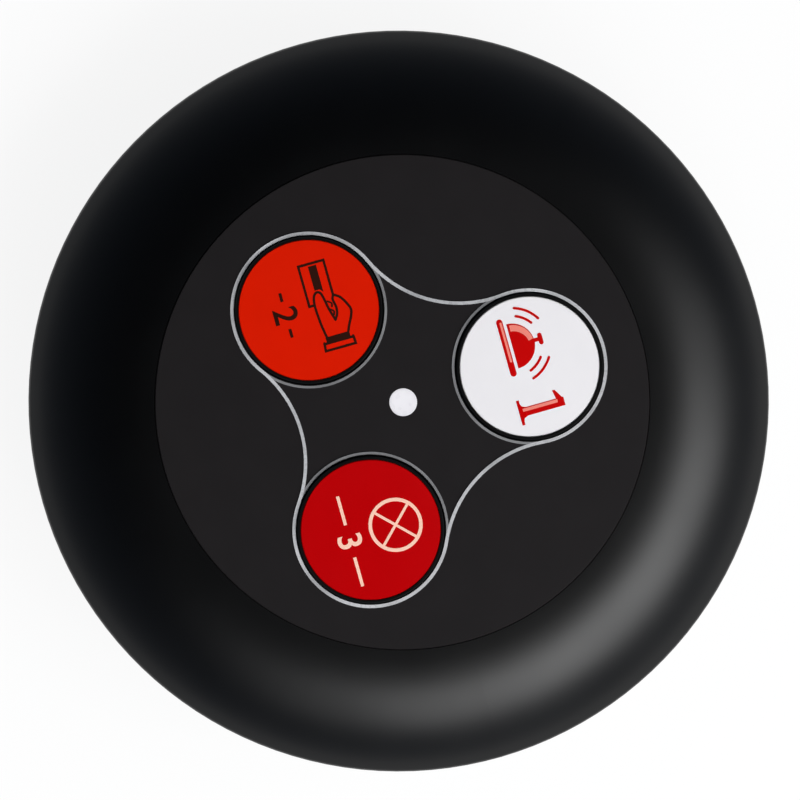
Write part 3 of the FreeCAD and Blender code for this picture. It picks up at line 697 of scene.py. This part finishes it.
@dataclass
class Ink:
    """Flat printed shapes of one thickness, drawn in the reading direction about a key's centre.

    Its own place is in metres, and all that is drawn in millimetres from that centre.

    Attributes:
        name: Name of the finished piece.
        centre: Centre of the key in plan.
        low: Height of the underside.
        high: Height of the printed surface.
        ring_corners: Corners of a printed circle.
        capital_share: A numeral's height as a share of the font's size.
        numeral_steps: Stretches in each curve of a numeral.
        numeral_weight: How far a numeral's outline is thickened.
        shapes: The shapes printed so far.
    """

    name: str
    centre: Vector
    low: float
    high: float
    ring_corners: int = 96
    capital_share: float = 0.73
    numeral_steps: int = 6
    numeral_weight: float = 0.05
    shapes: list[bpy.types.Object] = field(default_factory=list)

    def at(self, x: float, y: float) -> Vector:
        """Return the place of a point given in millimetres from the key's centre."""
        return Vector((self.centre.x + x * MM, self.centre.y + y * MM, self.low))

    def raise_flat(self) -> None:
        """Give the flat active mesh its thickness, faces outwards, and keep it."""
        piece = bpy.context.object
        settle(piece)
        bpy.ops.object.mode_set(mode="EDIT")
        bpy.ops.mesh.select_all(action="SELECT")
        bpy.ops.mesh.remove_doubles(threshold=SAME_POINT)
        bpy.ops.mesh.extrude_region_move(TRANSFORM_OT_translate={"value": (0, 0, self.high - self.low)})
        bpy.ops.mesh.select_all(action="SELECT")
        bpy.ops.mesh.normals_make_consistent(inside=False)
        bpy.ops.mesh.faces_shade_flat()
        bpy.ops.object.mode_set(mode="OBJECT")
        self.shapes.append(piece)

    def ring(self, x: float, y: float, radius: float, line: float) -> None:
        """Print a circle of one line width.

        Args:
            x: Its centre.
            y: Its centre.
            radius: Its radius, measured outside.
            line: Width of the line.
        """
        deselect_all()
        bpy.ops.mesh.primitive_circle_add(
            vertices=self.ring_corners, radius=radius * MM, fill_type="NGON", location=self.at(x, y)
        )
        bpy.ops.object.mode_set(mode="EDIT")
        bpy.ops.mesh.inset(thickness=line * MM)
        bpy.ops.mesh.delete(type="FACE")
        bpy.ops.object.mode_set(mode="OBJECT")
        self.raise_flat()

    def bar(self, start: Point, end: Point, line: float) -> None:
        """Print a straight bar with square ends.

        Args:
            start: Middle of one end.
            end: Middle of the other end.
            line: Width of the bar.
        """
        deselect_all()
        middle = ((start[0] + end[0]) / 2, (start[1] + end[1]) / 2)
        length = math.dist(start, end)
        turn = math.atan2(end[1] - start[1], end[0] - start[0])
        bpy.ops.mesh.primitive_plane_add(size=MM, location=self.at(*middle), rotation=(0, 0, turn))
        bpy.context.object.scale = (length, line, 1)
        self.raise_flat()

    def shape(self, points: Sequence[Point]) -> None:
        """Print a filled shape.

        Args:
            points: Its corner points.
        """
        curve = bpy.data.curves.new(self.name + "_outline", "CURVE")
        curve.dimensions = "2D"
        curve.fill_mode = "BOTH"
        spline = curve.splines.new("POLY")
        spline.points.add(len(points) - 1)
        for corner, (x, y) in zip(spline.points, points):
            corner.co = (x * MM, y * MM, 0, 1)
        spline.use_cyclic_u = True
        as_mesh(curve).location = self.at(0, 0)
        self.raise_flat()

    def stroke(self, points: Sequence[Point], line: float, smooth: bool = True) -> None:
        """Print a line of one width with round ends.

        Args:
            points: Points that the line passes through.
            line: Width of the line.
            smooth: True where the line curves through its points.
        """
        path = curved(points) if smooth else list(points)
        self.shape(around(path, line / 2))

    def numeral(self, digit: str, at: Point, height: float) -> None:
        """Print a numeral centred on a point.

        Args:
            digit: The numeral.
            at: Its centre.
            height: Its height.
        """
        curve = bpy.data.curves.new(self.name + "_numeral", "FONT")
        curve.body = digit
        curve.size = height * MM / self.capital_share
        curve.resolution_u = self.numeral_steps
        curve.offset = self.numeral_weight * MM
        piece = as_mesh(curve)
        corners = [vertex.co for vertex in piece.data.vertices]
        middle_x = (min(c.x for c in corners) + max(c.x for c in corners)) / 2
        middle_y = (min(c.y for c in corners) + max(c.y for c in corners)) / 2
        piece.location = self.at(*at) - Vector((middle_x, middle_y, 0))
        self.raise_flat()

    def flanked_numeral(self, digit: str, at: Point, height: float, span: Point, line: float) -> None:
        """Print a numeral with a level bar on either side.

        Args:
            digit: The numeral.
            at: Its centre.
            height: Its height.
            span: Where each bar starts and ends, from the centre.
            line: Width of the bars.
        """
        x, y = at
        self.numeral(digit, at, height)
        for side in (-1, 1):
            self.bar((x + side * span[0], y), (x + side * span[1], y), line)

    def done(self) -> bpy.types.Object:
        """Unite the shapes into one piece.

        Returns:
            The piece.
        """
        piece = self.shapes[0]
        for other in self.shapes[1:]:
            apply_modifier(piece, "BOOLEAN", operation="UNION", solver="MANIFOLD", object=other)
            bpy.data.objects.remove(other)
        piece.name = self.name
        piece.data.name = self.name
        return piece


@dataclass(frozen=True)
class BellSign:
    """Red table bell with rings of sound, and the numeral 1, each with a light edge.

    Sizes are in millimetres, angles in degrees, and places from the key's centre. The neck's and the
    knob's heights are from the dome's top. Each ring of sound has a radius and half an angle.

    Attributes:
        sound_turn: Angle between the vertical and the middle of each ring of sound.
        bracket: One side of the swelling between serif and stem, from the numeral's foot.
        flag: Outline of the numeral's flag, from the stem's head.
        stem_light: Middle of the light edge on the stem, from the stem's.
        stem_light_ends: How far it starts above the foot and ends under the head.
        dome_light_outer: Outer arc of the light edge on the dome: how far inside, and its first angle.
        dome_light_inner: Its inner arc, in the same way.
        dome_light_shift: How far the inner arc is moved sideways.
        plate_light: Ends of the light edge on the plate, from the bell's middle.
    """

    bell_x: float = -2.75
    base_y: float = -1.3
    dome_r: float = 2.6
    neck_half: float = 0.22
    neck_sunk: float = 0.15
    neck_rise: float = 0.6
    knob_half: float = 0.42
    knob_rise: float = 0.72
    knob_line: float = 0.52
    plate_y: float = -2.0
    plate_half: float = 3.0
    plate_line: float = 0.72
    sounds: tuple[Point, ...] = ((3.45, 16), (4.35, 20))
    sound_turn: float = 52
    sound_line: float = 0.3
    stem_x: float = 4.8
    foot_y: float = -2.6
    head_y: float = 2.75
    stem_line: float = 1.0
    serif_half: float = 1.45
    serif_line: float = 0.34
    bracket: tuple[Point, ...] = ((0, 0.3), (1.15, 0.3), (0.7, 0.46), (0.49, 0.95), (0, 0.95))
    flag: tuple[Point, ...] = ((0.4, 0), (-0.25, 0), (-1.5, -0.75), (-1.5, -1.05), (-0.4, -0.85))
    stem_light: float = -0.22
    stem_light_ends: Point = (0.5, 0.75)
    stem_light_line: float = 0.36
    dome_light_rise: float = 0.12
    dome_light_outer: Point = (0.2, 96)
    dome_light_inner: Point = (0.72, 100)
    dome_light_shift: float = 0.2
    dome_light_end: float = 176
    plate_light: Point = (-2.85, 1.6)
    plate_light_rise: float = 0.1
    plate_light_line: float = 0.26

    def print_on(self, key: "Key") -> None:
        """Print both layers of the sign on a key."""
        self.print_dark(key)
        self.print_light(key)

    def print_dark(self, key: "Key") -> None:
        """Print the bell and the numeral.

        Args:
            key: The key.
        """
        ink = key.ink("_legend")
        top_y = self.base_y + self.dome_r
        left, right = self.bell_x - self.neck_half, self.bell_x + self.neck_half
        low, high = top_y - self.neck_sunk, top_y + self.neck_rise
        ink.shape(arc_points(self.bell_x, self.base_y, self.dome_r, 0, 180))
        ink.shape([(left, low), (right, low), (right, high), (left, high)])
        self.level_stroke(ink, top_y + self.knob_rise, -self.knob_half, self.knob_half, self.knob_line)
        self.level_stroke(ink, self.plate_y, -self.plate_half, self.plate_half, self.plate_line)
        for side in (-1, 1):
            middle = 90 - side * self.sound_turn
            for radius, half in self.sounds:
                arc = arc_points(self.bell_x, self.base_y, radius, middle - half, middle + half)
                ink.stroke(arc, self.sound_line)
        x, foot_y, head_y = self.stem_x, self.foot_y, self.head_y
        serif_y = foot_y + self.serif_line / 2
        ink.bar((x, foot_y), (x, head_y), self.stem_line)
        ink.bar((x - self.serif_half, serif_y), (x + self.serif_half, serif_y), self.serif_line)
        for side in (-1, 1):
            ink.shape([(x + side * out, foot_y + up) for out, up in self.bracket][::side])
        ink.shape([(x + out, head_y + up) for out, up in self.flag])
        key.fix(ink, INK_RED)

    def print_light(self, key: "Key") -> None:
        """Print the light edges over the bell and the numeral.

        Args:
            key: The key.
        """
        ink = key.ink("_legend_light", key.light_layer)
        x = self.stem_x + self.stem_light
        start, end = self.stem_light_ends
        ink.bar((x, self.foot_y + start), (x, self.head_y - end), self.stem_light_line)
        y = self.base_y + self.dome_light_rise
        (outer_in, outer_start), (inner_in, inner_start) = self.dome_light_outer, self.dome_light_inner
        outer = arc_points(self.bell_x, y, self.dome_r - outer_in, outer_start, self.dome_light_end)
        inner_x = self.bell_x + self.dome_light_shift
        inner = arc_points(inner_x, y, self.dome_r - inner_in, inner_start, self.dome_light_end)
        ink.shape(outer + inner[::-1])
        plate_y = self.plate_y + self.plate_light_rise
        self.level_stroke(ink, plate_y, *self.plate_light, self.plate_light_line)
        key.fix(ink, INK_SALMON)

    def level_stroke(self, ink: Ink, y: float, left: float, right: float, line: float) -> None:
        """Print a level line with round ends, placed from the bell's middle."""
        ink.stroke([(self.bell_x + left, y), (self.bell_x + right, y)], line, smooth=False)


@dataclass(frozen=True)
class CardSign:
    """Dark line drawing of a card held in a hand, and the numeral 2.

    Sizes are in millimetres, and places are from the key's centre. The bars' ends are from the
    numeral's centre.

    Attributes:
        tips_x: Where each fingertip's line is drawn.
        tip: That line's points, across from there and up from the centre.
    """

    line: float = 0.28
    card: tuple[Point, ...] = ((-0.95, 3.1), (-5.05, 3.1), (-5.05, 0.15), (-0.35, 0.15), (-0.35, 0.75))
    stripe: tuple[Point, ...] = ((-4.75, 1.2), (-1.95, 1.2), (-1.95, 1.8), (-1.55, 2.15), (-4.75, 2.15))
    thumb: tuple[Point, ...] = (
        (3.6, 1.15), (2.4, 0.95), (0.9, 0.8), (-0.5, 0.78), (-1.35, 0.98),
        (-1.7, 1.38), (-1.45, 1.8), (-0.6, 2.02), (0.5, 2.22), (1.85, 2.6),
    )
    knuckles: tuple[Point, ...] = (
        (-0.95, 3.1), (-0.55, 3.75), (0.3, 4.3), (1.15, 4.62), (1.95, 4.4), (2.75, 3.98), (3.6, 3.6),
    )
    forefinger: tuple[Point, ...] = ((-0.95, 3.1), (-0.45, 2.92), (0.4, 3.06), (1.2, 2.98), (1.85, 2.6))
    tips_x: tuple[float, ...] = (-0.3, 0.62)
    tip: tuple[Point, ...] = ((-0.1, 2.3), (0.22, 2.68), (0.6, 2.62))
    tip_line: float = 0.2
    wrist: tuple[Point, Point] = ((3.78, 0.95), (3.78, 3.75))
    wrist_line: float = 0.58
    cuff: tuple[Point, ...] = ((4.1, 0.66), (5.0, 0.6), (5.0, 4.12), (4.1, 4.06))
    cuff_side: tuple[Point, Point] = ((4.2, 0.66), (4.2, 4.06))
    digit_at: Point = (-0.13, -2.67)
    digit_height: float = 2.84
    bars: Point = (1.6, 2.6)
    bar_line: float = 0.34

    def print_on(self, key: "Key") -> None:
        """Print the sign on a key.

        Args:
            key: The key.
        """
        ink = key.ink("_legend")
        ink.stroke(self.card, self.line, smooth=False)
        ink.shape(self.stripe)
        for path in (self.thumb, self.knuckles, self.forefinger):
            ink.stroke(path, self.line)
        for tip_x in self.tips_x:
            ink.stroke([(tip_x + x, y) for x, y in self.tip], self.tip_line)
        ink.bar(*self.wrist, self.wrist_line)
        ink.stroke(self.cuff, self.line, smooth=False)
        ink.bar(*self.cuff_side, self.line)
        ink.flanked_numeral("2", self.digit_at, self.digit_height, self.bars, self.bar_line)
        key.fix(ink, INK_DARK)


@dataclass(frozen=True)
class CircleSign:
    """Pale circle with two crossing bars, and the numeral 3.

    Sizes are in millimetres, and places are from the key's centre. The bars' ends are from the
    numeral's centre.
    """

    x: float = 0.2
    y: float = 2.85
    radius: float = 3.08
    line: float = 0.4
    cross_line: float = 0.3
    digit_at: Point = (0.6, -2.63)
    digit_height: float = 2.84
    bars: Point = (1.9, 5.3)
    bar_line: float = 0.36

    def print_on(self, key: "Key") -> None:
        """Print the sign on a key.

        Args:
            key: The key.
        """
        ink = key.ink("_legend")
        x, y = self.x, self.y
        reach = (self.radius - self.line / 2) * math.sin(math.pi / 4)
        ink.ring(x, y, self.radius, self.line)
        for side in (-1, 1):
            ink.bar((x - reach, y - side * reach), (x + reach, y + side * reach), self.cross_line)
        ink.flanked_numeral("3", self.digit_at, self.digit_height, self.bars, self.bar_line)
        key.fix(ink, INK_PALE)


SIGNS = {
    Legend.BELL: BellSign(),
    Legend.CARD_IN_HAND: CardSign(),
    Legend.CROSSED_CIRCLE: CircleSign(),
}


@dataclass
class DressedParts:
    """Parts of the frame that keep their shape and take a finish."""

    paint: Paintbox
    finishes: dict[Finish, tuple[str, ...]]

    def build(self) -> None:
        """Dress every part."""
        for finish, names in self.finishes.items():
            self.paint.dress_nodes(finish, names)


@dataclass
class Housing(DressedParts):
    """Gloss ring, base, seal, screws and feet."""

    finishes: dict[Finish, tuple[str, ...]] = field(default_factory=lambda: {
        GLOSS_BLACK: ("top_housing",),
        SATIN_BLACK: ("base_housing",),
        SEAL_RUBBER: ("housing_gasket",),
        SCREW_STEEL: ("housing_screws",),
        FOOT_RUBBER: ("rubber_feet",),
    })


@dataclass
class FrontPanel(DressedParts):
    """Matt disc with its silver lines and the lamp window."""

    finishes: dict[Finish, tuple[str, ...]] = field(default_factory=lambda: {
        PANEL_BLACK: ("front_panel",),
        CLEAR_FILM: ("panel_adhesive",),
        SILVER_LINE: ("trefoil_outline",),
        SILVER_LINE_DIM: ("key_line_arcs",),
        WINDOW_WHITE: ("led_window",),
    })


@dataclass
class Electronics(DressedParts):
    """Circuit board and all that is soldered on it."""

    finishes: dict[Finish, tuple[str, ...]] = field(default_factory=lambda: {
        BOARD_GREEN: ("circuit_board",),
        COMPONENT_BLACK: ("encoder_chip", "rf_transistor", "chip_resistors", "switch_bodies"),
        TINNED_STEEL: ("chip_leads", "switch_terminals", "switch_covers"),
        CERAMIC_GOLD: ("saw_resonator",),
        CERAMIC_TAN: ("chip_capacitors",),
        LAMP_LENS: ("status_led",),
        NICKEL_BRASS: ("antenna_wire",),
        SCREW_STEEL: ("board_screws",),
    })


@dataclass
class BatteryBay(DressedParts):
    """Cell, its two contacts and the door over it."""

    finishes: dict[Finish, tuple[str, ...]] = field(default_factory=lambda: {
        CELL_JACKET: ("battery",),
        NICKEL_BRASS: ("battery_leaf_contact", "battery_plate_contact"),
        SATIN_BLACK: ("battery_door",),
    })


@dataclass
class Key:
    """One key: black body, coloured disc, printed sign and the snap dome under its plunger.

    Lengths are in millimetres.

    Attributes:
        paint: Where its finishes come from.
        name: First word of its parts' names.
        face: Finish of its disc.
        legend: Its sign.
        ink_sunk: Depth of the print in the disc.
        ink_proud: Height of the print over the disc.
        light_layer: Extra height of a second layer of print.
        travel: How far the key goes down. Not used.
        dome_sheet: Thickness of the snap dome.
        dome_steps: Rings in the dome from edge to middle.
        dome_corners: Corners round the dome.
    """

    paint: Paintbox
    name: str
    face: Finish
    legend: Legend
    ink_sunk: float = 0.005
    ink_proud: float = 0.02
    light_layer: float = 0.005
    travel: float = 0.35
    dome_sheet: float = 0.08
    dome_steps: int = 10
    dome_corners: int = 64

    def build(self) -> None:
        """Dress the key, stamp its dome and print its sign."""
        self.paint.dress_nodes(KEY_BLACK, [self.name + "_key"])
        self.paint.dress_nodes(self.face, [self.name + "_key_face"])
        self.paint.dress_nodes(PLUNGER_PLASTIC, [self.name + "_plunger"])
        self.stamp_dome()
        SIGNS[self.legend].print_on(self)

    def stamp_dome(self) -> None:
        """Stamp the round snap dome that sits under the plunger."""
        node = self.name + "_dome"
        low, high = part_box(node)
        sheet = self.dome_sheet * MM
        centre = (low + high) / 2
        radius = (high.x - low.x) / 2
        rise = high.z - low.z - sheet
        edge = (centre.x, centre.y, low.z + sheet)
        deselect_all()
        bpy.ops.mesh.primitive_circle_add(
            vertices=self.dome_corners, radius=radius, fill_type="NGON", location=edge
        )
        dome = bpy.context.object
        self.crown(radius, rise)
        apply_modifier(dome, "SOLIDIFY", thickness=sheet, offset=-1.0)
        bpy.ops.object.shade_smooth_by_angle(angle=SMOOTH_BELOW)
        settle(dome)
        dome.name = self.name + "_snap_dome"
        dome.data.name = dome.name
        self.paint.dress(dome, SPRING_STEEL)
        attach(dome, "housing")
        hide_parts(node)
        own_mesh(dome)

    def crown(self, radius: float, rise: float) -> None:
        """Raise the active disc to part of a ball, ring by ring from its edge.

        Args:
            radius: Radius of the disc, in metres.
            rise: Height of its middle over its edge, in metres.
        """
        ball = (radius ** 2 + rise ** 2) / (2 * rise)
        bpy.ops.object.mode_set(mode="EDIT")
        ring, height = radius, 0.0
        for step in range(1, self.dome_steps):
            inner = radius * (1 - step / self.dome_steps)
            higher = math.sqrt(ball ** 2 - inner ** 2) - (ball - rise)
            bpy.ops.mesh.inset(thickness=ring - inner)
            bpy.ops.transform.translate(value=(0, 0, higher - height))
            ring, height = inner, higher
        bpy.ops.object.mode_set(mode="OBJECT")

    def ink(self, part: str, layer: float = 0.0) -> Ink:
        """Start a printed layer of this key's sign.

        Args:
            part: Ending of the piece's name.
            layer: Extra height of the layer, in millimetres.

        Returns:
            The empty layer.
        """
        low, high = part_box(self.name + "_key_face")
        centre = (low + high) / 2
        bottom = high.z - self.ink_sunk * MM
        return Ink(self.name + part, centre, bottom, high.z + (self.ink_proud + layer) * MM)

    def fix(self, ink: Ink, finish: Finish) -> None:
        """Finish a printed layer and let it ride on the key.

        Args:
            ink: The layer.
            finish: Its colour.
        """
        piece = ink.done()
        self.paint.dress(piece, finish)
        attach(piece, self.name + "_key")


@dataclass
class Studio:
    """White floor, soft lights, pale surroundings and the camera.

    Lengths are in metres, and angles in degrees. An azimuth is measured from +X.

    Attributes:
        floor_half: Half the floor's side.
        floor_white: How white its paper is.
        floor_glow: Share of plain white in what the camera sees of it beside the object.
        shadow_near: Distance from the middle where the shadow starts to fade into plain white.
        shadow_far: Distance where all is plain white.
        floor_drop: How far the floor lies under the feet.
        sky_top: Strength of the sky overhead.
        sky_rim: Its strength at the horizon.
        sky_under: Its strength from beneath.
        under_fade: Stretch under the horizon over which that comes in, where straight down is 1.
        white_band: Stretch over the horizon in which gloss and glass see white fade out.
        sky_tint: Colour of the sky.
        box_distance: Distance of the softboxes.
        box_width: Their width.
        box_height: Their height.
        box_elevation: Angle of their middles over the floor.
        box_azimuth: Direction of the middle one.
        box_step: Angle from one to the next.
        box_radiance: Brightness of the middle one.
        box_shares: Brightness of each beside the middle one's.
        lens: Focal length, in millimetres.
        sensor: Width of the picture behind the lens, in millimetres.
        nearest: Nearest distance that the camera shows.
        distance: Distance of the camera.
        outline_height: Height of the object's widest outline, at which the camera aims.
        lean: How far the camera leans from straight overhead.
        lean_azimuth: Direction that it leans towards.
        right_azimuth: Direction of the picture's right.
        aim_right: How far the aim lies to the picture's right of the middle.
        aim_up: How far it lies above the middle.
    """

    floor_half: float = 3.0
    floor_white: float = 0.95
    floor_glow: float = 0.89
    shadow_near: float = 0.045
    shadow_far: float = 0.13
    floor_drop: float = 0.00002
    sky_top: float = 0.012
    sky_rim: float = 0.24
    sky_under: float = 1.0
    under_fade: float = 0.1
    white_band: float = 0.03
    sky_tint: Rgb = (0.8, 0.98, 1.28)
    box_distance: float = 0.8
    box_width: float = 0.35
    box_height: float = 0.38
    box_elevation: float = 44.0
    box_azimuth: float = 27.0
    box_step: float = 25.0
    box_radiance: float = 6.36
    box_shares: tuple[float, ...] = (0.22, 0.72, 1.0, 0.88, 0.4)
    lens: float = 124.46
    sensor: float = 36.0
    nearest: float = 0.01
    distance: float = 0.321
    outline_height: float = 0.0167
    lean: float = 2.55
    lean_azimuth: float = 239.4
    right_azimuth: float = 74.25
    aim_right: float = -0.00008
    aim_up: float = 0.00018

    def build(self) -> None:
        """Set up the whole studio."""
        self.lay_floor()
        self.light_sky()
        for index, share in enumerate(self.box_shares):
            self.hang_softbox(index, share)
        self.set_camera()
        bpy.context.scene.view_settings.view_transform = "Standard"

    def lay_floor(self) -> None:
        """Lay a white floor that keeps the object's shadow and is clear from beneath."""
        deselect_all()
        bpy.ops.mesh.primitive_plane_add(size=2 * self.floor_half, location=(0, 0, -self.floor_drop))
        floor = bpy.context.object
        floor.name = "floor"
        graph = Graph(bpy.data.materials.new("floor_white"))
        white = (self.floor_white, self.floor_white, self.floor_white, 1.0)
        paper = graph.add("ShaderNodeBsdfDiffuse", {"Color": white}).outputs["BSDF"]
        glow = graph.add("ShaderNodeEmission", {"Color": PURE_WHITE, "Strength": 1.0}).outputs["Emission"]
        away = graph.add("ShaderNodeVectorMath", {0: graph.place()}, operation="LENGTH").outputs["Value"]
        fade = graph.spread(away, (self.shadow_near, self.shadow_far), (self.floor_glow, 1.0))
        share = graph.combined("MULTIPLY", graph.background_ray(), fade)
        clear = graph.add("ShaderNodeBsdfTransparent").outputs["BSDF"]
        from_beneath = graph.add("ShaderNodeNewGeometry").outputs["Backfacing"]
        graph.close(graph.blended(from_beneath, graph.blended(share, paper, glow), clear))
        floor.data.materials.append(graph.owner)

    def light_sky(self) -> None:
        """Surround the object with a pale sky, darker overhead, white low down and to the camera."""
        world = bpy.data.worlds.new("studio_sky")
        bpy.context.scene.world = world
        graph = Graph(world, "ShaderNodeOutputWorld")
        direction = graph.add("ShaderNodeTexCoord").outputs["Generated"]
        height = graph.add("ShaderNodeSeparateXYZ", {"Vector": direction}).outputs["Z"]
        over = graph.spread(height, (0.0, 1.0), (self.sky_rim, self.sky_top))
        under = graph.spread(height, (-self.under_fade, 0.0), (self.sky_under, 0.0))
        strength = graph.combined("ADD", over, under)
        sky = graph.add("ShaderNodeBackground", {"Color": (*self.sky_tint, 1.0), "Strength": strength})
        plain = graph.add("ShaderNodeBackground", {"Color": PURE_WHITE, "Strength": 1.0})
        band = graph.spread(height, (0.0, self.white_band), (1.0, 0.0))
        low_down = graph.combined("MULTIPLY", graph.background_ray(), band)
        camera_ray = graph.add("ShaderNodeLightPath").outputs["Is Camera Ray"]
        white = graph.combined("MAXIMUM", camera_ray, low_down)
        graph.close(graph.blended(white, sky.outputs["Background"], plain.outputs["Background"]))

    def hang_softbox(self, index: int, share: float) -> None:
        """Hang one softbox of the arc, facing the object.

        Args:
            index: Its number along the arc.
            share: Its brightness beside the middle one's.
        """
        middle = (len(self.box_shares) - 1) / 2
        turn = math.radians(self.box_azimuth + (index - middle) * self.box_step)
        rise = math.radians(self.box_elevation)
        away = Vector((math.cos(turn) * math.cos(rise), math.sin(turn) * math.cos(rise), math.sin(rise)))
        lamp = bpy.data.lights.new(f"softbox_{index}", "AREA")
        lamp.shape = "RECTANGLE"
        lamp.size = self.box_width
        lamp.size_y = self.box_height
        lamp.energy = share * self.box_radiance * math.pi * self.box_width * self.box_height
        softbox = bpy.data.objects.new(lamp.name, lamp)
        bpy.context.scene.collection.objects.link(softbox)
        softbox.location = away * self.box_distance
        softbox.rotation_euler = away.to_track_quat("Z", "Y").to_euler()

    def set_camera(self) -> None:
        """Place the camera above the object, leaned and turned as in the photograph."""
        right = self.level(self.right_azimuth)
        up = self.level(self.right_azimuth + 90.0)
        aim = right * self.aim_right + up * self.aim_up + Vector((0, 0, self.outline_height))
        lean = math.radians(self.lean)
        back = self.level(self.lean_azimuth) * math.sin(lean) + Vector((0, 0, math.cos(lean)))
        side = (right - back * right.dot(back)).normalized()
        turn = Matrix((side, back.cross(side), back)).transposed().to_4x4()
        lens = bpy.data.cameras.new("camera")
        lens.lens = self.lens
        lens.sensor_width = self.sensor
        lens.clip_start = self.nearest
        camera = bpy.data.objects.new("camera", lens)
        bpy.context.scene.collection.objects.link(camera)
        camera.matrix_world = Matrix.Translation(aim + back * self.distance) @ turn
        bpy.context.scene.camera = camera

    @staticmethod
    def level(azimuth: float) -> Vector:
        """Return the level direction at an azimuth."""
        return Vector((math.cos(math.radians(azimuth)), math.sin(math.radians(azimuth)), 0))


def main() -> None:
    """Build every sub-assembly and the studio."""
    logging.basicConfig(level=logging.INFO, format="%(message)s")
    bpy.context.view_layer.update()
    paint = Paintbox()
    Housing(paint).build()
    FrontPanel(paint).build()
    Key(paint, "call", FACE_WHITE, Legend.BELL).build()
    Key(paint, "bill", FACE_ORANGE_RED, Legend.CARD_IN_HAND).build()
    Key(paint, "cancel", FACE_CRIMSON, Legend.CROSSED_CIRCLE).build()
    Electronics(paint).build()
    BatteryBay(paint).build()
    Studio().build()


if __name__ == "__main__":
    main()
